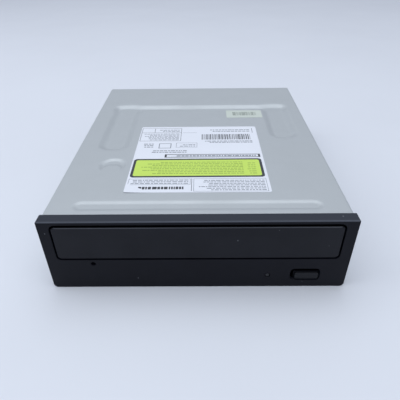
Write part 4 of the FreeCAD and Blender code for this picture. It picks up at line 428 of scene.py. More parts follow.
def noise_node(tree: Tree, vector: Socket, scale: object, detail: float) -> Socket:
    """A noise texture from 0 to 1.

    Args:
        tree: the node tree.
        vector: the place.
        scale: a socket or a number.
        detail: how many octaves are added.

    Returns:
        The noise.
    """
    return add_node(tree, "ShaderNodeTexNoise", {"Vector": vector, "Scale": scale,
                                                 "Detail": detail}).outputs["Fac"]


def range_node(tree: Tree, value: Socket, low: float, high: float, out_low: float = 0.0,
               out_high: float = 1.0) -> Socket:
    """A clamped change of range.

    Args:
        tree: the node tree.
        value: what is changed.
        low: the input that gives out_low.
        high: the input that gives out_high.
        out_low: the first result.
        out_high: the last result.

    Returns:
        The changed value.
    """
    return add_node(tree, "ShaderNodeMapRange", {"Value": value, "From Min": low, "From Max": high,
                                                 "To Min": out_low, "To Max": out_high}).outputs["Result"]


def mix_colour(tree: Tree, amount: object, first: object, second: object) -> Socket:
    """A mix of two colours.

    Args:
        tree: the node tree.
        amount: a socket or a number from 0 to 1.
        first: a socket or a colour.
        second: a socket or a colour.

    Returns:
        The mixed colour.
    """
    inputs = {MIX_AMOUNT: amount, MIX_FIRST: first, MIX_SECOND: second}
    return add_node(tree, "ShaderNodeMix", inputs, data_type="RGBA").outputs[MIX_COLOUR]


def cloud_group() -> Tree:
    """The group that varies a colour softly over a surface: handling, plating and storage marks."""
    tree, start, end = new_group("soft_clouds", {"Vector": ("NodeSocketVector", None),
                                                 "Colour": ("NodeSocketColor", (0.5, 0.5, 0.5, 1.0)),
                                                 "Scale": ("NodeSocketFloat", 60.0),
                                                 "Strength": ("NodeSocketFloat", 0.1)},
                                 {"Colour": "NodeSocketColor", "Mask": "NodeSocketFloat"})
    clear_below, full_above = 0.32, 0.68
    broad = noise_node(tree, start.outputs["Vector"], start.outputs["Scale"], detail=4.0)
    mask = range_node(tree, broad, clear_below, full_above)
    left_over = math_node(tree, "SUBTRACT", 1.0, start.outputs["Strength"])
    dark = add_node(tree, "ShaderNodeHueSaturation", {"Color": start.outputs["Colour"], "Value": left_over})
    mixed = mix_colour(tree, mask, start.outputs["Colour"], dark.outputs["Color"])
    feed(tree, end, {"Colour": mixed, "Mask": mask})
    return tree


def grain_group() -> Tree:
    """The group that gives a fine height: the texture of a mould or the lay of a rolled sheet."""
    tree, start, end = new_group("fine_grain", {"Vector": ("NodeSocketVector", None),
                                                "Scale": ("NodeSocketFloat", 4000.0),
                                                "Coarse": ("NodeSocketFloat", 0.25)},
                                 {"Height": "NodeSocketFloat"})
    coarse_share = 0.6
    fine = noise_node(tree, start.outputs["Vector"], start.outputs["Scale"], detail=2.0)
    coarse_scale = math_node(tree, "MULTIPLY", start.outputs["Scale"], start.outputs["Coarse"])
    coarse = noise_node(tree, start.outputs["Vector"], coarse_scale, detail=2.0)
    feed(tree, end, {"Height": math_node(tree, "ADD", fine,
                                         math_node(tree, "MULTIPLY", coarse, coarse_share))})
    return tree


def speck_group() -> Tree:
    """The group that scatters small specks of dust, each a pale dot."""
    tree, start, end = new_group("dust_specks", {"Vector": ("NodeSocketVector", None),
                                                 "Scale": ("NodeSocketFloat", 220.0),
                                                 "Size": ("NodeSocketFloat", 0.06)},
                                 {"Mask": "NodeSocketFloat"})
    patch_scale, dusty_above = 90.0, 0.56
    cells = add_node(tree, "ShaderNodeTexVoronoi", {"Vector": start.outputs["Vector"],
                                                    "Scale": start.outputs["Scale"]})
    near = math_node(tree, "LESS_THAN", cells.outputs["Distance"], start.outputs["Size"])
    patches = noise_node(tree, start.outputs["Vector"], patch_scale, detail=1.0)
    feed(tree, end, {"Mask": math_node(tree, "MULTIPLY", near,
                                       math_node(tree, "GREATER_THAN", patches, dusty_above))})
    return tree


CLOUDS, GRAIN, SPECKS = cloud_group(), grain_group(), speck_group()
BRUSH_STRETCH = 0.04
DUST_COLOUR: Colour = (0.45, 0.47, 0.5)
LEAST_SPECK, SPECK_GROWTH = 0.05, 0.1


def clouded(tree: Tree, vector: Socket, colour: object, size: float,
            strength: float) -> tuple[Socket, Socket]:
    """A colour with soft clouds in it.

    Args:
        tree: the material's node tree.
        vector: the place on the piece.
        colour: a socket or a colour.
        size: how large a cloud is, mm.
        strength: how much darker a cloud is, from 0 to 1.

    Returns:
        The colour socket and the socket of the clouds' mask.
    """
    node = add_node(tree, "ShaderNodeGroup", {"Vector": vector, "Colour": colour, "Scale": 1.0 / (size * MM),
                                              "Strength": strength}, node_tree=CLOUDS)
    return node.outputs["Colour"], node.outputs["Mask"]


@dataclass(frozen=True)
class Finish:
    """One surface finish: its colour, gloss, fine texture and marks of use."""

    name: str
    colour: Colour
    roughness: float
    slot: str = ""
    metallic: float = 0.0
    specular: float = 0.5
    coat: float = 0.0
    grain_size: float = 0.25
    grain_depth: float = 0.004
    cloud_size: float = 18.0
    cloud_strength: float = 0.08
    rough_spread: float = 0.06
    dust: float = 0.0
    lay: Lay = Lay.EVEN
    transmission: float = 0.0

    def base_colour(self, tree: Tree, vector: Socket) -> tuple[Socket, Socket]:
        """The colour before any dust, and the soft mask that the roughness follows.

        Args:
            tree: the material's node tree.
            vector: the place on the piece.

        Returns:
            The colour socket and the mask socket.
        """
        return clouded(tree, vector, self.colour, self.cloud_size, self.cloud_strength)

    def material(self) -> bpy.types.Material:
        """Build the material, or give it back if it is there already.

        Returns:
            The material.
        """
        label = f"{self.name}_finish"
        if label in bpy.data.materials:
            return bpy.data.materials[label]
        material = bpy.data.materials.new(label)
        material.use_nodes = True
        tree = material.node_tree
        place = tree.nodes.new("ShaderNodeTexCoord").outputs["Object"]
        colour, mask = self.base_colour(tree, place)
        if self.dust > 0:
            size = LEAST_SPECK + SPECK_GROWTH * self.dust
            specks = add_node(tree, "ShaderNodeGroup", {"Vector": place, "Size": size}, node_tree=SPECKS)
            amount = math_node(tree, "MULTIPLY", specks.outputs["Mask"], self.dust)
            colour = mix_colour(tree, amount, colour, DUST_COLOUR)
        rough = range_node(tree, mask, 0.0, 1.0, self.roughness - self.rough_spread,
                           self.roughness + self.rough_spread)
        shader = tree.nodes["Principled BSDF"]
        feed(tree, shader, {"Base Color": colour, "Roughness": rough, "Metallic": self.metallic,
                            "Specular IOR Level": self.specular, "Coat Weight": self.coat,
                            "Transmission Weight": self.transmission})
        if self.grain_depth > 0:
            if self.lay is not Lay.EVEN:
                scale = (BRUSH_STRETCH, 1, 1) if self.lay is Lay.BRUSHED_X else (1, BRUSH_STRETCH, 1)
                mapping = add_node(tree, "ShaderNodeMapping", {"Vector": place, "Scale": scale})
                place = mapping.outputs["Vector"]
            inputs = {"Vector": place, "Scale": 1.0 / (self.grain_size * MM)}
            grain = add_node(tree, "ShaderNodeGroup", inputs, node_tree=GRAIN)
            bump = add_node(tree, "ShaderNodeBump", {"Distance": self.grain_depth * MM, "Strength": 1.0,
                                                     "Height": grain.outputs["Height"]})
            feed(tree, shader, {"Normal": bump.outputs["Normal"]})
        return material

    def dress(self, item: Item) -> None:
        """Give a piece or a frame node this finish all over."""
        material = self.material()
        if not item.material_slots:
            item.data.materials.append(material)
        for place in item.material_slots:
            place.material = material


@dataclass(frozen=True)
class BoardFinish(Finish):
    """Solder mask over copper: tracks show as paler lines round squarer cells in it."""

    track_scale: float = 260.0
    track_width: float = 0.035
    shaded: float = 0.8
    brightened: float = 2.2

    def base_colour(self, tree: Tree, vector: Socket) -> tuple[Socket, Socket]:
        """The mask's green, with tracks under it.

        Args:
            tree: the material's node tree.
            vector: the place on the board.

        Returns:
            The colour socket and the mask socket.
        """
        inputs = {"Vector": vector, "Scale": self.track_scale, "Mortar Size": self.track_width}
        for name, gain in (("Color1", 1.0), ("Color2", self.shaded), ("Mortar", self.brightened)):
            inputs[name] = [min(1.0, value * gain) for value in self.colour]
        tracks = add_node(tree, "ShaderNodeTexBrick", inputs, offset=0.5)
        return clouded(tree, vector, tracks.outputs["Color"], self.cloud_size, self.cloud_strength)


@dataclass(frozen=True)
class PaintedShadingFinish(Finish):
    """A finish with a painted tone above a height, a painted sheen where it is paler and painted shade where
    it is darker, and a painted highlight line along its upper front edge.
    """

    above: float = 42.1
    fade: float = 0.1
    # painted light: the colour above the height, a painted sheen when paler than the finish, painted shade
    # when darker
    painted_top_shading: Colour = (0.030, 0.034, 0.044)
    highlight_above: float = 41.75
    highlight_reach: float = 0.5
    # painted highlight: the colour of the line along the upper front edge
    edge: Colour = (0.066, 0.073, 0.090)

    def base_colour(self, tree: Tree, vector: Socket) -> tuple[Socket, Socket]:
        """The finish's own colour, the painted tone over its top and the painted highlight line along its
        edge.

        Args:
            tree: the material's node tree.
            vector: the place on the piece.

        Returns:
            The colour socket and the mask socket.
        """
        colour, mask = super().base_colour(tree, vector)
        place = add_node(tree, "ShaderNodeSeparateXYZ", {"Vector": vector}).outputs
        height = range_node(tree, place["Z"], (self.above - self.fade) * MM, (self.above + self.fade) * MM)
        top_shaded = mix_colour(tree, height, colour, self.painted_top_shading)
        high_up = math_node(tree, "GREATER_THAN", place["Z"], self.highlight_above * MM)
        in_front = math_node(tree, "LESS_THAN", place["Y"], behind(self.highlight_reach) * MM)
        return mix_colour(tree, math_node(tree, "MULTIPLY", high_up, in_front), top_shaded, self.edge), mask


ZINC_STEEL = Finish("zinc_steel", (0.483, 0.512, 0.524), 0.56, metallic=0.6, grain_size=0.5,
                    grain_depth=0.003, cloud_size=30.0, cloud_strength=0.05, rough_spread=0.04)
# The bezel's paler top is a painted sheen and the pale line on its upper front edge a painted highlight, from
# the class defaults; the specks are dust.
FRONT_PLASTIC = PaintedShadingFinish("front_plastic", (0.0052, 0.0058, 0.0100), 0.40, specular=0.13,
                             grain_size=0.22, grain_depth=0.006, cloud_size=14.0, cloud_strength=0.15,
                             rough_spread=0.05, dust=0.25)
# The door's near-black top, seen through the gap, is painted shade, and the pale line on its upper front edge
# a painted highlight.
DOOR_PLASTIC = PaintedShadingFinish("door_plastic", (0.0078, 0.0086, 0.0130), 0.46, slot="front_plastic",
                            specular=0.19, grain_size=0.25, grain_depth=0.006, cloud_size=14.0,
                            cloud_strength=0.15, rough_spread=0.05, dust=0.2, above=38.75,
                            painted_top_shading=(0.0020, 0.0022, 0.0030), highlight_above=38.42, highlight_reach=0.34,
                            edge=(0.060, 0.064, 0.076))
BUTTON_PLASTIC = Finish("button_plastic", (0.0095, 0.0105, 0.0145), 0.4, slot="front_plastic", specular=0.2,
                        grain_size=0.2, grain_depth=0.006)
FRAME_PLASTIC = Finish("frame_plastic", (0.020, 0.020, 0.022), 0.5, grain_size=0.3, grain_depth=0.01)
TRAY_PLASTIC = Finish("tray_plastic", (0.022, 0.023, 0.026), 0.5, specular=0.4, grain_size=0.3,
                      grain_depth=0.010, cloud_strength=0.12)
GEAR_PLASTIC = Finish("gear_plastic", (0.78, 0.77, 0.70), 0.38, grain_depth=0.003)
BELT_RUBBER = Finish("belt_rubber", (0.018, 0.018, 0.018), 0.75, grain_depth=0.012)
SCREW_STEEL = Finish("screw_steel", (0.46, 0.47, 0.50), 0.32, metallic=1.0, grain_depth=0.002)
GROUND_STEEL = Finish("ground_steel", (0.72, 0.72, 0.74), 0.14, metallic=1.0, grain_depth=0.0,
                      cloud_strength=0.03, rough_spread=0.03)
MOTOR_STEEL = Finish("motor_steel", (0.52, 0.53, 0.56), 0.33, metallic=1.0, grain_size=0.6,
                     grain_depth=0.002)
COPPER = Finish("copper_winding", (0.62, 0.22, 0.08), 0.3, metallic=0.9, grain_size=0.18, grain_depth=0.03,
                lay=Lay.BRUSHED_X)
TURNTABLE_PLASTIC = Finish("turntable_plastic", (0.03, 0.03, 0.034), 0.42)
MAGNET_METAL = Finish("magnet_metal", (0.32, 0.32, 0.34), 0.35, metallic=0.9)
CAST_ALLOY = Finish("cast_alloy", (0.58, 0.59, 0.61), 0.45, metallic=0.9, grain_size=0.5, grain_depth=0.02,
                    cloud_strength=0.12)
LID_STEEL = Finish("lid_steel", (0.66, 0.66, 0.65), 0.3, metallic=1.0, grain_depth=0.002, lay=Lay.BRUSHED_Y)
LENS_PLASTIC = Finish("lens_plastic", (0.02, 0.02, 0.02), 0.5)
LENS_GLASS = Finish("lens_glass", (0.25, 0.30, 0.55), 0.06, specular=0.8, coat=1.0, grain_depth=0.0,
                    cloud_strength=0.02, rough_spread=0.02)
BOARD_GREEN = BoardFinish("board_green", (0.012, 0.10, 0.045), 0.35, coat=0.3, grain_depth=0.004)
CHIP_BLACK = Finish("chip_black", (0.022, 0.022, 0.024), 0.55, grain_size=0.15, grain_depth=0.008)
PAD_GREY = Finish("pad_grey", (0.34, 0.38, 0.44), 0.85, grain_size=0.5, grain_depth=0.02)
CAN_METAL = Finish("capacitor_can", (0.70, 0.70, 0.72), 0.28, metallic=1.0)
CONNECTOR_BLACK = Finish("connector_black", (0.014, 0.014, 0.015), 0.48, grain_depth=0.006)
CONTACT_GOLD = Finish("contact_gold", (0.80, 0.55, 0.20), 0.22, metallic=1.0, grain_depth=0.0)
CLEAR_PLASTIC = Finish("clear_plastic", (0.20, 0.21, 0.23), 0.16, specular=0.6, transmission=0.35,
                       grain_depth=0.0, cloud_strength=0.02, rough_spread=0.02)
# Painted shade: a near-black matte that darkens the finger scoop, which a deeper recess would shade.
PAINTED_SHADE_BLACK = Finish("painted_shade_black", (0.0008, 0.0009, 0.0014), 0.9, slot="front_plastic", specular=0.0,
                     grain_depth=0.0, cloud_strength=0.0, rough_spread=0.0)
SMOKED_PLASTIC = Finish("smoked_plastic", (0.008, 0.009, 0.012), 0.14, slot="clear_plastic", specular=0.42,
                        grain_depth=0.0, cloud_strength=0.02, rough_spread=0.02)
RIBBON_WHITE = Finish("ribbon_white", (0.72, 0.73, 0.72), 0.4, grain_depth=0.002)
RIBBON_AMBER = Finish("ribbon_amber", (0.42, 0.18, 0.03), 0.28, coat=0.4, grain_depth=0.002)
LABEL_PAPER = Finish("label_paper", (0.675, 0.70, 0.75), 0.45, specular=0.3, grain_size=0.4,
                     grain_depth=0.003, cloud_size=22.0, cloud_strength=0.03)
STICKER_GREEN = Finish("sticker_green", (0.50, 0.545, 0.495), 0.5, specular=0.3, grain_depth=0.003,
                       cloud_strength=0.04)
LIME_INK = Finish("lime_ink", (0.50, 0.67, 0.115), 0.42, slot="label_paper", specular=0.3,
                  grain_depth=0.002, cloud_strength=0.03)
BLACK_INK = Finish("black_ink", (0.03, 0.034, 0.04), 0.45, slot="label_paper", grain_depth=0.0)
GREY_INK = Finish("grey_ink", (0.20, 0.22, 0.25), 0.5, slot="label_paper", grain_depth=0.0)
OLIVE_INK = Finish("olive_ink", (0.26, 0.38, 0.06), 0.5, slot="label_paper", grain_depth=0.0)
FAINT_INK = Finish("faint_ink", (0.20, 0.23, 0.20), 0.5, slot="sticker_green", grain_depth=0.0)

NODE_FINISHES: dict[Finish, tuple[str, ...]] = {
    ZINC_STEEL: ("top_cover", "bottom_cover", "clamper_bridge", "traverse_base"),
    FRONT_PLASTIC: ("front_bezel",), DOOR_PLASTIC: ("tray_front",), BUTTON_PLASTIC: ("eject_button",),
    FRAME_PLASTIC: ("loader_frame", "pivot_frame", "clamper_plate"), TRAY_PLASTIC: ("disc_tray",),
    GEAR_PLASTIC: ("drive_gear", "idler_gear", "belt_gear", "motor_pulley", "cam_slider", "lead_nut",
                   "screw_bearing"),
    BELT_RUBBER: ("drive_belt", "damper_bushes", "turntable_ring"),
    SCREW_STEEL: ("cover_screws", "bridge_screws", "board_screws", "damper_screws"),
    GROUND_STEEL: ("guide_rods", "lead_screw", "spindle_shaft", "motor_shaft"),
    MOTOR_STEEL: ("loading_motor", "feed_motor", "spindle_rotor", "spindle_motor_base", "clamper_yoke",
                  "rod_clamps"),
    COPPER: ("spindle_stator",), TURNTABLE_PLASTIC: ("turntable",), MAGNET_METAL: ("hub_magnet",),
    CAST_ALLOY: ("pickup_base", "laser_module", "lens_yoke"), LID_STEEL: ("pickup_cover",),
    LENS_PLASTIC: ("lens_holder",), LENS_GLASS: ("lenses",), BOARD_GREEN: ("main_board", "front_board"),
    CHIP_BLACK: ("main_chips", "eject_switch", "switch_plunger"), PAD_GREY: ("thermal_pads",),
    CAN_METAL: ("capacitors",), CONNECTOR_BLACK: ("rear_connector", "ribbon_sockets"),
    CONTACT_GOLD: ("connector_contacts",), CLEAR_PLASTIC: ("light_pipe", "status_light"),
    RIBBON_WHITE: ("front_ribbon",), RIBBON_AMBER: ("pickup_ribbon",), LABEL_PAPER: ("rating_label",),
    STICKER_GREEN: ("serial_label",),
}


def put(item: Item, body: str, finish: Finish, *stands_for: str) -> Item:
    """Dress a piece, let it ride on a body and hide the frame nodes that it stands for.

    Args:
        item: the finished piece.
        body: the frame body that it rides on.
        finish: its finish.
        stands_for: the frame nodes that it replaces.

    Returns:
        The piece.
    """
    finish.dress(item)
    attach(item, body)
    if stands_for:
        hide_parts(*stands_for)
    LOG.info("%s: %d faces on %s", item.name, len(item.data.polygons), body)
    return item


# The steel case


def step_down(distance: float, shoulder: float, wall: float) -> float:
    """How much of a pressed form's depth is reached at a distance from its outline.

    Args:
        distance: the signed distance from the outline, mm, negative inside.
        shoulder: how far outside the outline the metal starts to turn down, mm.
        wall: how wide the turned-down wall is, mm.

    Returns:
        A share from 0 to 1 that starts and ends level.
    """
    share = min(1.0, max(0.0, (shoulder - distance) / wall))
    return share * share * (3 - 2 * share)


def box_distance(x: float, y: float, left: float, right: float, low: float, high: float,
                 corner: float) -> float:
    """The signed distance from a rounded oblong.

    Args:
        x: the place across.
        y: the place along.
        left: the oblong's first side.
        right: its last side.
        low: its near side.
        high: its far side.
        corner: the radius of its corners.

    Returns:
        The distance, negative inside.
    """
    across = abs(x - (left + right) / 2) - (right - left) / 2 + corner
    along = abs(y - (low + high) / 2) - (high - low) / 2 + corner
    outside = math.hypot(max(across, 0.0), max(along, 0.0))
    return outside + min(max(across, along), 0.0) - corner


def soft_least(first: float, second: float, reach: float) -> float:
    """The lesser of two distances, rounded where they are alike.

    Args:
        first: one distance.
        second: the other.
        reach: how far the rounding reaches.

    Returns:
        The blended distance.
    """
    share = max(reach - abs(first - second), 0.0) / reach
    return min(first, second) - share * share * reach / 4


@dataclass
class CoverShell:
    """The folded steel cover: roof with its pressed forms, two sides and a rear flap."""

    half: float = 73.0
    top: float = ROOF_TOP
    base: float = 0.5
    front: float = 5.8
    back: float = 180.0
    sheet: float = 0.8
    bend: float = 1.2
    bend_steps: int = 6
    flap_base: float = 16.0
    flap_half: float = 71.9
    bead: tuple[float, float, float] = (60.3, 9.5, 17.4)
    bead_deep: float = 0.62
    bead_edge: tuple[float, float] = (0.3, 2.6)
    left_inner: float = 42.4
    right_inner: float = 45.4
    left_outer: float = 62.0
    right_outer: float = 64.0
    left_front: float = 71.0
    right_front: float = 85.5
    bar_front: float = 133.4
    bar_back: float = 142.0
    arm_corner: float = 8.0
    bar_corner: float = 3.5
    arm_blend: float = 5.0
    arm_deep: float = 1.8
    arm_edge: tuple[float, float] = (0.9, 5.4)
    dimple: tuple[float, float, float] = (-48.1, 52.6, 7.7)
    bite: tuple[float, float] = (47.7, 5.2)
    dimple_deep: float = 0.85
    dimple_edge: tuple[float, float] = (0.4, 2.6)
    hole_depths: tuple[float, float] = (53.2, 132.45)
    hole_heights: tuple[float, float] = (10.5, 22.34)
    hole_radius: float = 1.5
    hole_past: float = 2.0
    hole_sides: int = 32
    collar_radius: float = 2.3
    collar_deep: float = 1.2
    wall_step: float = 6.0
    side_step: float = 1.6
    front_step: float = 1.1
    stops_across: tuple[tuple[float, float], ...] = ((-65.5, 0.6), (-40.0, 2.5), (43.5, 0.6), (66.5, 1.6))
    stops_along: tuple[tuple[float, float], ...] = ((9.4, 0.5), (19.4, 2.4), (43.6, 0.6), (62.0, 1.0),
                                                    (96.0, 2.0), (131.0, 0.5), (144.0, 2.5))
    side_short: float = 0.1
    crease: float = 32.0

    def spread(self, stops: Iterable[tuple[float, float]]) -> list[float]:
        """Lines between stops, each with the step that follows it.

        Args:
            stops: places and the spacing after each, the last spacing unused.

        Returns:
            The places of all lines.
        """
        marks = list(stops)
        lines = [marks[0][0]]
        for (start, step), (end, _) in zip(marks, marks[1:]):
            count = max(1, round((end - start) / step))
            lines += [start + (end - start) * index / count for index in range(1, count + 1)]
        return lines

    def pressed(self, x: float, depth: float) -> float:
        """How far the roof lies below its level at a place.

        Args:
            x: the place across, mm.
            depth: the place behind the bezel's face, mm.

        Returns:
            The depth of pressing, mm.
        """
        reach, bead_front, bead_back = self.bead
        bead = box_distance(x, depth, -reach, reach, bead_front, bead_back, (bead_back - bead_front) / 2)
        left = box_distance(x, depth, -self.left_outer, -self.left_inner, self.left_front, self.bar_back,
                            self.arm_corner)
        right = box_distance(x, depth, self.right_inner, self.right_outer, self.right_front, self.bar_back,
                             self.arm_corner)
        bar = box_distance(x, depth, -self.left_outer, self.right_outer, self.bar_front, self.bar_back,
                           self.bar_corner)
        arms = soft_least(soft_least(left, bar, self.arm_blend), right, self.arm_blend)
        dimple_x, dimple_depth, dimple_radius = self.dimple
        bite_depth, bite_radius = self.bite
        disk = math.hypot(x - dimple_x, depth - dimple_depth) - dimple_radius
        bitten = bite_radius - math.hypot(x - dimple_x, depth - bite_depth)
        return (self.bead_deep * step_down(bead, *self.bead_edge)
                + self.arm_deep * step_down(arms, *self.arm_edge)
                + self.dimple_deep * step_down(max(disk, bitten), *self.dimple_edge))

    def section(self) -> list[tuple[float, float, bool]]:
        """The cover's cross-section from the left foot over the roof to the right foot.

        Returns:
            Each line's X, height and whether it lies on the roof.
        """
        feet = self.spread(((self.base, self.wall_step), (self.top - self.bend, 0)))
        turn = [math.pi / 2 * step / self.bend_steps for step in range(1, self.bend_steps)]
        centre_x, centre_z = self.half - self.bend, self.top - self.bend
        right_bend = [(centre_x + self.bend * math.sin(angle), centre_z + self.bend * math.cos(angle), False)
                      for angle in turn]
        roof = self.spread(((-centre_x, self.side_step), *self.stops_across, (centre_x, 0)))
        left = [(-self.half, height, False) for height in feet]
        left_bend = [(-x, z, flag) for x, z, flag in reversed(right_bend)]
        right = [(self.half, height, False) for height in reversed(feet)]
        return left + left_bend + [(x, self.top, True) for x in roof] + right_bend + right

    def run(self) -> list[tuple[float, float, bool]]:
        """The cover's run from the front edge over the rear bend and down the flap.

        Returns:
            Each line's depth, how far below the roof it lies and whether it lies on the roof.
        """
        flat = self.spread(((self.front, self.front_step), *self.stops_along, (self.back - self.bend, 0)))
        turn = [math.pi / 2 * step / self.bend_steps for step in range(1, self.bend_steps + 1)]
        bend = [(self.back - self.bend + self.bend * math.sin(angle), self.bend - self.bend * math.cos(angle),
                 False) for angle in turn]
        heights = self.spread(((self.flap_base, self.wall_step), (self.top - self.bend, 0)))
        flap = [(self.back, self.top - height, False) for height in heights[-2::-1]]
        return [(depth, 0.0, True) for depth in flat] + bend + flap

    def sheet_metal(self) -> Item:
        """A grid folded and pressed to the cover's outer face, then given the sheet's thickness.

        Returns:
            The cover without its holes.
        """
        section, run = self.section(), self.run()
        last_flat = sum(1 for _, _, before_bend in run if before_bend) - 1
        deselect()
        bpy.ops.mesh.primitive_grid_add(x_subdivisions=len(section) - 1, y_subdivisions=len(run) - 1, size=1)
        item = bpy.context.active_object
        item.name = "cover_shell"
        form = bmesh.new()
        form.from_mesh(item.data)
        spare = []
        for vertex in form.verts:
            across = round((vertex.co.x + 0.5) * (len(section) - 1))
            along = round((vertex.co.y + 0.5) * (len(run) - 1))
            x, height, on_roof = section[across]
            depth, drop, before_bend = run[along]
            if not on_roof and not before_bend:
                spare.append(vertex)
                continue
            if on_roof and before_bend:
                height -= self.pressed(x, depth)
            elif on_roof:
                height -= drop
                x = max(-self.flap_half, min(self.flap_half, x))
            elif along == last_flat and abs(x) >= self.half:
                depth = self.back - self.side_short
            vertex.co = Vector((x, behind(depth), height)) * MM
        bmesh.ops.delete(form, geom=spare, context="VERTS")
        form.to_mesh(item.data)
        form.free()
        add_modifier(item, "SOLIDIFY", thickness=self.sheet * MM, offset=-1.0, use_even_offset=True)
        return item

    def hole_places(self) -> list[tuple[float, float]]:
        """The depth and height of each screw hole in one side, mm."""
        return [(depth, height) for depth in self.hole_depths for height in self.hole_heights]

    def holes(self) -> Item:
        """The tools that cut the side screw holes.

        Returns:
            All eight as one object.
        """
        reach = self.half + self.hole_past
        return join("hole_tools", [drum("hole_tool", self.hole_radius, (-reach, behind(depth), height),
                                        2 * reach, "X", self.hole_sides)
                                   for depth, height in self.hole_places()])

    def collars(self) -> list[Item]:
        """The drawn collars inside the side walls, where the bay screws take hold.

        Returns:
            The eight collars.
        """
        rings = []
        inner = self.half - self.sheet
        for start in (-inner, inner - self.collar_deep):
            for depth, height in self.hole_places():
                ring = drum("collar", self.collar_radius, (start, behind(depth), height), self.collar_deep,
                            "X", self.hole_sides)
                select_in(ring, "FACE", lambda face: abs(face.normal.x) > FACING)
                bpy.ops.mesh.inset(thickness=(self.collar_radius - self.hole_radius) * MM)
                bpy.ops.mesh.bridge_edge_loops()
                leave_edit()
                rings.append(ring)
        return rings

    def build(self) -> None:
        """Make the cover and let it stand for the plain one."""
        item = self.sheet_metal()
        tools = self.holes()
        add_modifier(item, "BOOLEAN", operation="DIFFERENCE", object=tools, solver="EXACT")
        bpy.data.objects.remove(tools, do_unlink=True)
        item = join("cover_shell", [item, *self.collars()])
        smooth(item, self.crease)
        put(item, "case", ZINC_STEEL, "top_cover")


@dataclass
class CaseFloor:
    """The lower cover and the screws that hold it."""

    floor_round: float = 0.12
    screw_x: float = 62.0
    screw_depths: tuple[float, float] = (20.0, 170.0)
    head_base: float = 0.8
    head_radius: float = 2.7
    head_thick: float = 0.7
    head_round: float = 0.22
    shank_radius: float = 1.25
    shank_reach: float = 6.0
    shank_sink: float = 0.02
    cross_long: float = 1.5
    cross_wide: float = 0.32
    cross_deep: float = 0.45
    cross_past: float = 1.0

    def screw(self, x: float, depth: float) -> Item:
        """A pan-head screw seen from below, with a cross recess.

        Args:
            x: its place across, mm.
            depth: its place behind the bezel's face, mm.

        Returns:
            The screw.
        """
        y = behind(depth)
        head = drum("screw", self.head_radius, (x, y, self.head_base), self.head_thick, sides=40)
        ease_edges(head, self.head_round, segments=3)
        low, high = self.head_base - self.cross_past, self.head_base + self.cross_deep
        arms = [block("arm", (x - long, y - wide, low), (x + long, y + wide, high))
                for long, wide in ((self.cross_long, self.cross_wide), (self.cross_wide, self.cross_long))]
        for arm in arms:
            add_modifier(head, "BOOLEAN", operation="DIFFERENCE", object=arm, solver="EXACT")
            bpy.data.objects.remove(arm, do_unlink=True)
        top = self.head_base + self.head_thick
        shank = drum("shank", self.shank_radius, (x, y, top - self.shank_sink), self.shank_reach, sides=20)
        return join("screw", [head, shank])

    def build(self) -> None:
        """Make the lower cover and its screws."""
        floor = moulding_from("bottom_cover", "floor_shell", self.floor_round)
        put(floor, "case", ZINC_STEEL, "bottom_cover")
        screws = [self.screw(side * self.screw_x, depth) for depth in self.screw_depths for side in (-1, 1)]
        item = join("cover_screw_set", screws)
        smooth(item)
        put(item, "case", SCREW_STEEL, "cover_screws")


# The front


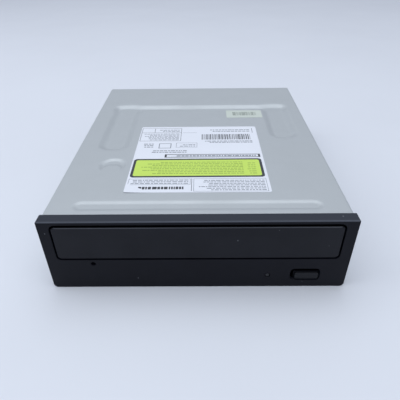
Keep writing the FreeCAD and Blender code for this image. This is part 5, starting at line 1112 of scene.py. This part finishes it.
@dataclass
class Front:
    """The bezel, the tray's door and the eject button, their edges eased as a mould leaves them."""

    bezel_round: float = 0.18
    ledge_round: float = 0.6
    door_round: float = 0.14
    door_corner: float = 3.6
    door_gap: float = 0.4
    tighter: tuple[float, float] = (1.9, 2.7)
    lip_round: float = 0.5
    lip_drop: float = 1.15
    foot_rise: float = 0.3
    side_draw: float = 0.22
    button_round: float = 0.2
    lens_round: float = 0.4
    button_drop: float = 0.45
    light_place: tuple[float, float] = (34.6, 8.2)
    lens_share: float = 0.74
    pinhole: tuple[float, float, float] = (-51.3, 16.3, 0.9)
    pinhole_flare: float = 1.4
    pinhole_catch: float = 1.1
    front_steps: int = 4
    nose: float = 0.5
    button_lip: float = 1.2
    scoop: tuple[Box, Box] = ((46.3, 60.3, 9.75, 12.1), (46.3, 47.8, 5.4, 9.9))
    scoop_deep: float = 1.4
    scoop_upper: float = 11.0
    scoop_corner: float = 1.9
    # the thickness of the black sheet of painted shade in the scoop
    shade_sheet_thick: float = 0.06

    def tighten(self, item: Item, gap: float) -> None:
        """Give the four round corners of the door, or of the opening round it, a smaller radius.

        Args:
            item: the moulding.
            gap: how far outside the door's own outline the corners lie, mm.
        """
        low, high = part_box("tray_front")
        half, old = high[0] / MM + gap, self.door_corner + gap
        for vertex in item.data.vertices:
            side = math.copysign(1.0, vertex.co.x)
            for edge, up, wanted in zip((low[2] / MM - gap, high[2] / MM + gap), (-1, 1), self.tighter):
                across = side * vertex.co.x / MM - (half - old)
                along = up * (vertex.co.z / MM - edge) + old
                if min(across, along) > -NEAR and abs(math.hypot(across, along) - old) < 2 * NEAR:
                    new = wanted + gap
                    vertex.co.x = side * (half - new + across * new / old) * MM
                    vertex.co.z = (edge + up * (along * new / old - new)) * MM

    def round_upper_edge(self, item: Item, face: float, top: float, width: float) -> None:
        """Round a moulding's upper front edge.

        Args:
            item: the moulding.
            face: the Y of its front face, metres.
            top: the height of its top, metres.
            width: how much is rounded, mm.
        """
        near = NEAR * MM
        round_edges(item, lambda edge: all(end.co.z > top - near and end.co.y < face + near
                                           for end in edge.verts), width, self.front_steps)

    def bezel(self) -> Item:
        """The bezel, with its upper front edge rounded more and the pinhole's mouth flared.

        Returns:
            The bezel.
        """
        item = moulding_from("front_bezel", "bezel_moulding", 0.0)
        self.tighten(item, self.door_gap)
        low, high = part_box("front_bezel")
        x, z, radius = self.pinhole
        catch = radius * self.pinhole_catch * MM
        for vertex in item.data.vertices:
            across, up = vertex.co.x - x * MM, vertex.co.z - z * MM
            if vertex.co.y < low[1] + NEAR * MM and math.hypot(across, up) < catch:
                vertex.co.x += across * (self.pinhole_flare - 1)
                vertex.co.z += up * (self.pinhole_flare - 1)
        self.round_upper_edge(item, low[1], high[2], self.ledge_round)
        finish_moulding(item, self.bezel_round)
        return item

    def door(self) -> Item:
        """The tray's door, cut back and rounded along its upper front edge, where the gap is widest.

        Returns:
            The door.
        """
        item = moulding_from("tray_front", "door_moulding", 0.0)
        self.tighten(item, 0.0)
        low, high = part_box("tray_front")
        corner = self.door_corner * MM
        for vertex in item.data.vertices:
            from_top = max(0.0, 1 - (high[2] - vertex.co.z) / corner)
            from_foot = max(0.0, 1 - (vertex.co.z - low[2]) / corner)
            vertex.co.z += (self.foot_rise * from_foot - self.lip_drop * from_top) * MM
            vertex.co.x *= 1 - self.side_draw * MM / high[0]
        self.round_upper_edge(item, low[1], high[2] - self.lip_drop * MM, self.lip_round)
        finish_moulding(item, self.door_round)
        return item

    def scoop_shade_sheet(self) -> Item:
        """A dull black sheet at the bottom of the finger scoop over the button, painted shade for the dark of
        a deeper scoop.

        Returns:
            The liner.
        """
        back, thick = behind(self.scoop_deep), self.shade_sheet_thick
        top, left = [block("scoop_shade_sheet", (first, back - thick, low), (last, back + thick, high))
                     for first, last, low, high in self.scoop]
        round_edges(top, lambda edge: all(end.co.z > self.scoop_upper * MM for end in edge.verts)
                    and abs(span(edge).y) > thick * MM, self.scoop_corner, segments=6)
        return join("scoop_shade_sheet", [top, left])

    def button(self) -> Item:
        """The eject button, its upper edge a little lower than the opening's.

        Returns:
            The button.
        """
        item = moulding_from("eject_button", "button_moulding", 0.0)
        front = min(vertex.co.y for vertex in item.data.vertices)
        ahead = [vertex for vertex in item.data.vertices if vertex.co.y < front + self.nose * MM]
        top = max(vertex.co.z for vertex in ahead)
        for vertex in ahead:
            if vertex.co.z > top - self.button_lip * MM:
                vertex.co.z -= self.button_drop * MM
        finish_moulding(item, self.button_round)
        return item

    def light_lens(self) -> Item:
        """The lens of the light, drawn in at its front so that a dark ring shows round it.

        Returns:
            The lens.
        """
        item = moulding_from("light_pipe", "light_lens", 0.0)
        front = min(vertex.co.y for vertex in item.data.vertices)
        middle_x, middle_z = (value * MM for value in self.light_place)
        for vertex in item.data.vertices:
            if vertex.co.y < front + self.nose * MM:
                vertex.co.x = middle_x + (vertex.co.x - middle_x) * self.lens_share
                vertex.co.z = middle_z + (vertex.co.z - middle_z) * self.lens_share
        finish_moulding(item, self.lens_round, segments=4)
        return item

    def build(self) -> None:
        """Make the mouldings, the lens of the light and the black sheet of painted shade in the scoop."""
        put(self.scoop_shade_sheet(), "case", PAINTED_SHADE_BLACK)
        put(self.bezel(), "case", FRONT_PLASTIC, "front_bezel")
        put(self.door(), "tray", DOOR_PLASTIC, "tray_front")
        put(self.button(), "eject_button", BUTTON_PLASTIC, "eject_button")
        put(self.light_lens(), "case", SMOKED_PLASTIC, "light_pipe")


# The labels


@dataclass(frozen=True)
class Rows:
    """Where rows of small print stand: between two X, from one depth on, mm."""

    left: float
    right: float
    near: float
    count: int
    pitch: float
    height: float


@dataclass
class Print:
    """Marks printed on a label: oblongs of one ink, gathered and made in one go."""

    name: str
    ink: Finish
    base: float
    rise: float
    ragged: float = 0.22
    dash: tuple[float, float] = (0.7, 2.6)
    dash_gap: tuple[float, float] = (0.35, 0.6)
    row_rest: float = 1.0
    bar_widths: tuple[float, ...] = (0.22, 0.22, 0.4, 0.6)
    bar_gaps: tuple[float, ...] = (0.25, 0.25, 0.45, 0.6)
    bar_rest: float = 0.3
    marks: list[Box] = field(default_factory=list)

    def mark(self, left: float, right: float, near: float, far: float) -> None:
        """Add one oblong between two X and two depths, mm."""
        self.marks.append((left, right, near, far))

    def outline(self, left: float, right: float, near: float, far: float, line: float) -> None:
        """Add the four sides of a box.

        Args:
            left: its first X, mm.
            right: its last X, mm.
            near: its first depth, mm.
            far: its last depth, mm.
            line: how wide its line is, mm.
        """
        self.mark(left, right, near, near + line)
        self.mark(left, right, far - line, far)
        self.mark(left, left + line, near + line, far - line)
        self.mark(right - line, right, near + line, far - line)

    def dashes(self, dice: random.Random, rows: Rows) -> None:
        """Add rows of short dashes, as small print looks from afar.

        Args:
            dice: the seeded source of dash lengths.
            rows: where they stand.
        """
        for row in range(rows.count):
            depth = rows.near + row * rows.pitch
            here = rows.right
            stop = rows.left + dice.uniform(0.0, self.ragged) * (rows.right - rows.left)
            while here > stop + self.row_rest:
                length = min(dice.uniform(*self.dash), here - stop)
                self.mark(here - length, here, depth, depth + rows.height)
                here -= length + dice.uniform(*self.dash_gap)

    def bars(self, dice: random.Random, left: float, right: float, near: float, far: float) -> None:
        """Add a row of upright bars of mixed widths.

        Args:
            dice: the seeded source of widths.
            left: the first X, mm.
            right: the last X, mm.
            near: the first depth, mm.
            far: the last depth, mm.
        """
        here = left
        while here < right - self.bar_rest:
            width = dice.choice(self.bar_widths)
            self.mark(here, min(here + width, right), near, far)
            here += width + dice.choice(self.bar_gaps)

    def build(self) -> None:
        """Make every mark a thin raised plate of ink, all as one piece."""
        deselect()
        bpy.ops.mesh.primitive_plane_add(size=1)
        item = bpy.context.active_object
        item.name = self.name
        form = bmesh.new()
        low, high = (self.base - INK_SINK) * MM, (self.base + self.rise) * MM
        for left, right, near, far in self.marks:
            corners = [(x * MM, behind(depth) * MM)
                       for x, depth in ((left, near), (right, near), (right, far), (left, far))]
            top = [form.verts.new((*corner, high)) for corner in corners]
            foot = [form.verts.new((*corner, low)) for corner in corners]
            form.faces.new(top)
            form.faces.new(foot[::-1])
            for index in range(4):
                ahead = (index + 1) % 4
                form.faces.new((foot[index], foot[ahead], top[ahead], top[index]))
        form.to_mesh(item.data)
        form.free()
        put(item, "case", self.ink)


@dataclass
class Labels:
    """The large label with its ruled boxes and the small sticker, both printed to be read from the rear."""

    roof: float = ROOF_TOP
    thick: float = 0.12
    label: Box = (-37.6, 37.5, 24.4, 103.0)
    label_corner: float = 1.2
    sticker: Box = (19.4, 44.5, 118.0, 131.0)
    sticker_corner: float = 0.8
    lift: float = 0.3
    lift_way: Point = (-1.0, -1.6, 0.0)
    lift_cuts: tuple[float, ...] = (9.0, 7.0, 5.0, 3.0, 1.5)
    panel: Box = (-36.7, 36.0, 38.9, 59.2)
    border: float = 1.45
    panel_corners: tuple[float, float] = (2.0, 1.2)
    ink_rise: float = 0.012
    seed: int = 7
    dark_boxes: tuple[tuple[Box, float], ...] = (((-19.6, 36.0, 60.8, 64.6), 0.6),
                                                 ((-36.9, -11.1, 82.2, 100.8), 0.25))
    dark_lines: tuple[Box, ...] = ((-19.0, -18.4, 61.4, 64.0), (34.8, 35.4, 61.4, 64.0),
                                   (-36.6, -11.3, 94.2, 94.45), (-28.6, -28.35, 94.4, 100.6),
                                   (34.6, 34.85, 93.5, 100.4), (-3.35, -3.1, 25.6, 37.6))
    pale_boxes: tuple[tuple[Box, float], ...] = (((-36.6, -3.9, 31.6, 37.5), 0.22),
                                                 ((-2.2, 36.0, 25.2, 37.4), 0.22),
                                                 ((-13.7, -0.8, 73.4, 79.5), 0.25),
                                                 ((-24.2, -16.6, 72.4, 78.8), 0.5))
    pale_line: Box = (-10.2, -1.2, 93.8, 94.05)
    strip_row: Rows = Rows(-17.0, 33.6, 62.0, 1, 1.0, 1.3)
    heading_row: Rows = Rows(-34.4, -7.3, 27.3, 1, 1.0, 2.4)
    small_rows: tuple[Rows, ...] = (
        Rows(-35.6, -5.0, 32.5, 3, 1.6, 0.7), Rows(-1.0, 35.0, 26.2, 7, 1.5, 0.65),
        Rows(-35.8, -12.4, 83.4, 6, 1.7, 0.7), Rows(-27.6, -12.4, 95.6, 2, 2.0, 0.8),
        Rows(2.0, 33.4, 79.4, 2, 1.7, 0.9), Rows(6.0, 33.0, 95.2, 2, 2.2, 0.9),
        Rows(-34.6, -27.6, 73.6, 3, 2.0, 0.9), Rows(-12.6, -2.0, 74.6, 2, 1.9, 0.8),
        Rows(-30.6, -7.0, 66.8, 2, 1.9, 0.9))
    panel_rows: tuple[Rows, ...] = (Rows(-33.8, 25.0, 42.4, 8, 1.75, 0.75),
                                    Rows(26.8, 32.0, 42.4, 6, 2.2, 0.75))
    label_bars: Box = (2.0, 33.2, 83.8, 91.4)
    sticker_bars: Box = (24.0, 40.3, 121.8, 127.8)

    def lift_corner(self, item: Item) -> None:
        """Cut the label across near its front left corner and raise what lies outside the cuts.

        Args:
            item: the label.
        """
        left, _, near, _ = self.label
        corner = Vector((left, behind(near), self.roof)) * MM
        normal = Vector(self.lift_way).normalized()
        for reach in self.lift_cuts:
            select_in(item, "FACE", lambda face: True)
            bpy.ops.mesh.bisect(plane_co=corner - normal * reach * MM, plane_no=normal)
            leave_edit()
        first = self.lift_cuts[0] * MM
        for vertex in item.data.vertices:
            reach = first + (vertex.co - corner).dot(normal)
            if reach > 0:
                vertex.co.z += self.lift * MM * (reach / first) ** 2

    def sheets(self, face: float) -> None:
        """Make the label, the sticker and the label's printed panel.

        Args:
            face: the height of their upper sides, mm.
        """
        main = plate("label_sheet", self.label, self.roof, face, self.label_corner)
        self.lift_corner(main)
        put(main, "case", LABEL_PAPER, "rating_label")
        small = plate("sticker_sheet", self.sticker, self.roof, face, self.sticker_corner)
        put(small, "case", STICKER_GREEN, "serial_label")
        left, right, near, far = self.panel
        edge = self.border
        inner = (left + edge, right - edge, near + edge, far - edge)
        base = face
        for name, box, corner, ink in (("label_panel_border", self.panel, self.panel_corners[0], BLACK_INK),
                                       ("label_panel", inner, self.panel_corners[1], LIME_INK)):
            put(plate(name, box, base - INK_SINK, base + self.ink_rise, corner), "case", ink)
            base += self.ink_rise

    def build(self) -> None:
        """Make the label, the sticker and all that is printed on them."""
        face = self.roof + self.thick
        self.sheets(face)
        dice = random.Random(self.seed)
        dark = Print("label_rules", BLACK_INK, face, self.ink_rise)
        pale = Print("label_small_print", GREY_INK, face, self.ink_rise)
        panel_print = Print("label_panel_print", OLIVE_INK, face + 2 * self.ink_rise, self.ink_rise / 2)
        faint = Print("sticker_print", FAINT_INK, face, self.ink_rise)
        for ink, boxes in ((dark, self.dark_boxes), (pale, self.pale_boxes)):
            for box, line in boxes:
                ink.outline(*box, line)
        for line in self.dark_lines:
            dark.mark(*line)
        pale.mark(*self.pale_line)
        pale.dashes(dice, self.strip_row)
        dark.bars(dice, *self.label_bars)
        dark.dashes(dice, self.heading_row)
        for ink, blocks in ((pale, self.small_rows), (panel_print, self.panel_rows)):
            for rows in blocks:
                ink.dashes(dice, rows)
        faint.bars(dice, *self.sticker_bars)
        for ink in (dark, pale, panel_print, faint):
            ink.build()


# Inside the case


@dataclass
class Loader:
    """The tray that carries the disc."""

    tray_round: float = 0.25

    def build(self) -> None:
        """Make the tray moulding."""
        put(moulding_from("disc_tray", "tray_moulding", self.tray_round), "tray", TRAY_PLASTIC, "disc_tray")


@dataclass
class Ribbon:
    """The pickup's flat ribbon."""

    board_top: float = BOARD_TOP
    kept: float = 0.45

    def build(self) -> None:
        """Make the ribbon and let it ride on the case."""
        item = moulding_from("pickup_ribbon", "ribbon_loop", 0.0)
        smooth(item)
        put(item, "case", RIBBON_AMBER, "pickup_ribbon")
        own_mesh(item)


@dataclass
class Optics:
    """The pickup's domed lenses."""

    lens_radius: float = 2.2
    pitch: float = 4.8
    depth: float = 97.0
    base: float = 25.4
    rim: float = 27.0
    crown: float = 0.4
    dome_steps: int = 6
    dome_inset: float = 0.15
    crease: float = 60.0

    def lens(self, side: int) -> Item:
        """One lens: a drum whose top is domed by insets that rise to the crown.

        Args:
            side: -1 for the left lens, 1 for the right.

        Returns:
            The lens.
        """
        x = side * self.pitch / 2
        item = drum("lens", self.lens_radius, (x, behind(self.depth), self.base), self.rim - self.base)
        select_in(item, "FACE", lambda face: face.normal.z > FACING)
        heights = [self.crown * math.sin(step * math.pi / (2 * self.dome_steps))
                   for step in range(self.dome_steps + 1)]
        for rise in (above - under for under, above in zip(heights, heights[1:])):
            bpy.ops.mesh.inset(thickness=self.lens_radius * self.dome_inset * MM)
            bpy.ops.transform.translate(value=(0, 0, rise * MM))
        leave_edit()
        return item

    def build(self) -> None:
        """Make both lenses."""
        item = join("domed_lenses", [self.lens(-1), self.lens(1)])
        smooth(item, self.crease)
        put(item, "lens", LENS_GLASS, "lenses")


@dataclass
class BoardParts:
    """What is soldered on the main board: chip legs and rows of small parts."""

    under: float = 4.2
    over: float = BOARD_TOP
    chip_depth: float = 128.0
    chips: tuple[tuple[float, float], ...] = ((-22.0, 17.0), (0.0, 9.0), (22.0, 17.0))
    leg_wide: float = 0.35
    leg_pitch: float = 1.0
    leg_reach: float = 1.1
    leg_thick: float = 0.15
    leg_drop: float = 0.9
    leg_rise: tuple[float, float] = (0.3, 0.55)
    leg_foot: float = 0.35
    leg_tuck: float = 0.1
    part_rows: tuple[float, ...] = (108.0, 112.0, 150.0, 154.0)
    part_count: int = 9
    part_first: float = -44.0
    part_pitch: float = 11.0
    part_stray: float = 1.5
    part_sizes: tuple[tuple[float, float], ...] = ((1.6, 0.8), (2.0, 1.2), (1.0, 0.5))
    part_tall: float = 0.5
    part_sink: float = 0.02
    part_round: float = 0.06
    seed: int = 11

    def legs(self) -> Item:
        """The legs along two sides of each chip, one leg modelled and copied.

        Returns:
            All the legs.
        """
        made = []
        low = self.under - self.leg_drop
        pattern = block("leg", (0, 0, low), (self.leg_reach, self.leg_wide, low + self.leg_thick))
        select_in(pattern, "FACE", lambda face: face.normal.x > FACING)
        for out, up in (self.leg_rise, (self.leg_foot, 0)):
            bpy.ops.mesh.extrude_region_move(TRANSFORM_OT_translate={"value": (out * MM, 0, up * MM)})
        leave_edit()
        for centre, size in self.chips:
            count = int(size / self.leg_pitch) - 1
            for step in range(count):
                y = behind(self.chip_depth) + (step - (count - 1) / 2) * self.leg_pitch
                made.append(copy_of(pattern, "leg", (centre + size / 2 - self.leg_tuck, y, 0)))
                twin = copy_of(pattern, "leg")
                for vertex in twin.data.vertices:
                    vertex.co.x = -vertex.co.x
                twin.location = ((centre - size / 2 + self.leg_tuck) * MM, y * MM, 0)
                made.append(settle(twin))
        bpy.data.objects.remove(pattern, do_unlink=True)
        item = join("chip_legs", made)
        face_outwards(item)
        return item

    def small_parts(self) -> Item:
        """Rows of small soldered parts on the board's upper face.

        Returns:
            The small parts.
        """
        dice = random.Random(self.seed)
        made = []
        for depth in self.part_rows:
            for step in range(self.part_count):
                stray = dice.uniform(-self.part_stray, self.part_stray)
                x = self.part_first + step * self.part_pitch + stray
                long, wide = dice.choice(self.part_sizes)
                made.append(block("small_part", (x, behind(depth), self.over - self.part_sink),
                                  (x + long, behind(depth) + wide, self.over + self.part_tall)))
        item = join("small_parts", made)
        ease_edges(item, self.part_round, segments=1)
        return item

    def build(self) -> None:
        """Make the soldered parts."""
        put(self.legs(), "case", CAN_METAL)
        put(self.small_parts(), "case", CHIP_BLACK)


def dress_frame_nodes() -> None:
    """Give the frame's nodes their finishes, also those that a new piece stands for."""
    for finish, names in NODE_FINISHES.items():
        for name in names:
            finish.dress(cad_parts[name])
    LOG.info("%d frame nodes dressed", sum(len(names) for names in NODE_FINISHES.values()))


# The studio


@dataclass
class Studio:
    """A plain pale floor, soft light and a camera where the photographer stood."""

    floor_colour: Colour = (0.648, 0.672, 0.716)
    sky_colour: Colour = (0.80, 0.86, 1.0)
    sky_strength: float = 0.58
    floor_size: float = 6.0
    floor_grid: int = 8
    lamp_colour: Colour = (0.93, 0.96, 1.0)
    lamps: tuple[tuple[str, Point, float, float], ...] = (("overhead", (-0.05, -0.05, 1.3), 1.6, 12.5),
                                                          ("window", (-0.9, -0.1, 0.8), 0.8, 2.9),
                                                          ("room", (0.6, -0.6, 0.9), 0.8, 1.3))
    camera_place: Point = (3.1056, -138.4875, 150.9855)
    pan: float = -0.0121
    tilt: float = 0.60987
    roll: float = -0.01292
    lens: float = 35.0757
    sensor: float = 36.0

    def floor(self) -> None:
        """A wide floor with a little unevenness in its colour."""
        deselect()
        bpy.ops.mesh.primitive_grid_add(x_subdivisions=self.floor_grid, y_subdivisions=self.floor_grid,
                                        size=self.floor_size)
        item = bpy.context.active_object
        item.name = "floor"
        Finish("floor_paper", self.floor_colour, 0.6, specular=0.2, grain_size=0.8, grain_depth=0.002,
               cloud_size=160.0, cloud_strength=0.03).dress(item)

    def light(self, name: str, place: Point, size: float, power: float) -> None:
        """One large soft light that points at the drive.

        Args:
            name: the light's name.
            place: where it hangs, metres.
            size: its width, metres.
            power: its power, watts.
        """
        lamp = bpy.data.lights.new(name, "AREA")
        lamp.energy = power
        lamp.size = size
        lamp.color = self.lamp_colour
        item = bpy.data.objects.new(name, lamp)
        item.location = place
        item.rotation_euler = (-Vector(place)).to_track_quat("-Z", "Y").to_euler()
        bpy.context.scene.collection.objects.link(item)

    def camera(self) -> None:
        """The camera, solved from corners of the bezel and the case in the photograph."""
        pan, tilt, roll = self.pan, self.tilt, self.roll
        ahead = Vector((math.sin(pan) * math.cos(tilt), math.cos(pan) * math.cos(tilt), -math.sin(tilt)))
        level = Vector((math.cos(pan), -math.sin(pan), 0))
        above = level.cross(ahead)
        right = math.cos(roll) * level + math.sin(roll) * above
        up = -math.sin(roll) * level + math.cos(roll) * above
        x, y, z = self.camera_place
        data = bpy.data.cameras.new("camera")
        data.lens = self.lens
        data.sensor_width = self.sensor
        item = bpy.data.objects.new("camera", data)
        turn = Matrix((right, up, -ahead)).transposed().to_4x4()
        item.matrix_world = Matrix.Translation((x * MM, (y + FACE_Y) * MM, z * MM)) @ turn
        bpy.context.scene.collection.objects.link(item)
        bpy.context.scene.camera = item

    def sky(self) -> None:
        """The soft light from all round."""
        world = bpy.data.worlds.new("sky")
        world.use_nodes = True
        shade = world.node_tree.nodes["Background"]
        shade.inputs["Color"].default_value = (*self.sky_colour, 1.0)
        shade.inputs["Strength"].default_value = self.sky_strength
        bpy.context.scene.world = world

    def build(self) -> None:
        """Make the floor, the light and the camera."""
        self.floor()
        self.sky()
        for lamp in self.lamps:
            self.light(*lamp)
        self.camera()
        bpy.context.scene.view_settings.view_transform = "Standard"


def main() -> None:
    """Build the studio and every sub-assembly in order."""
    logging.basicConfig(level=logging.INFO, format="%(name)s: %(message)s")
    Studio().build()
    dress_frame_nodes()
    for assembly in (CoverShell(), CaseFloor(), Front(), Labels(), Loader(), Ribbon(), Optics(),
                     BoardParts()):
        assembly.build()
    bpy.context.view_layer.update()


if __name__ == "__main__":
    main()
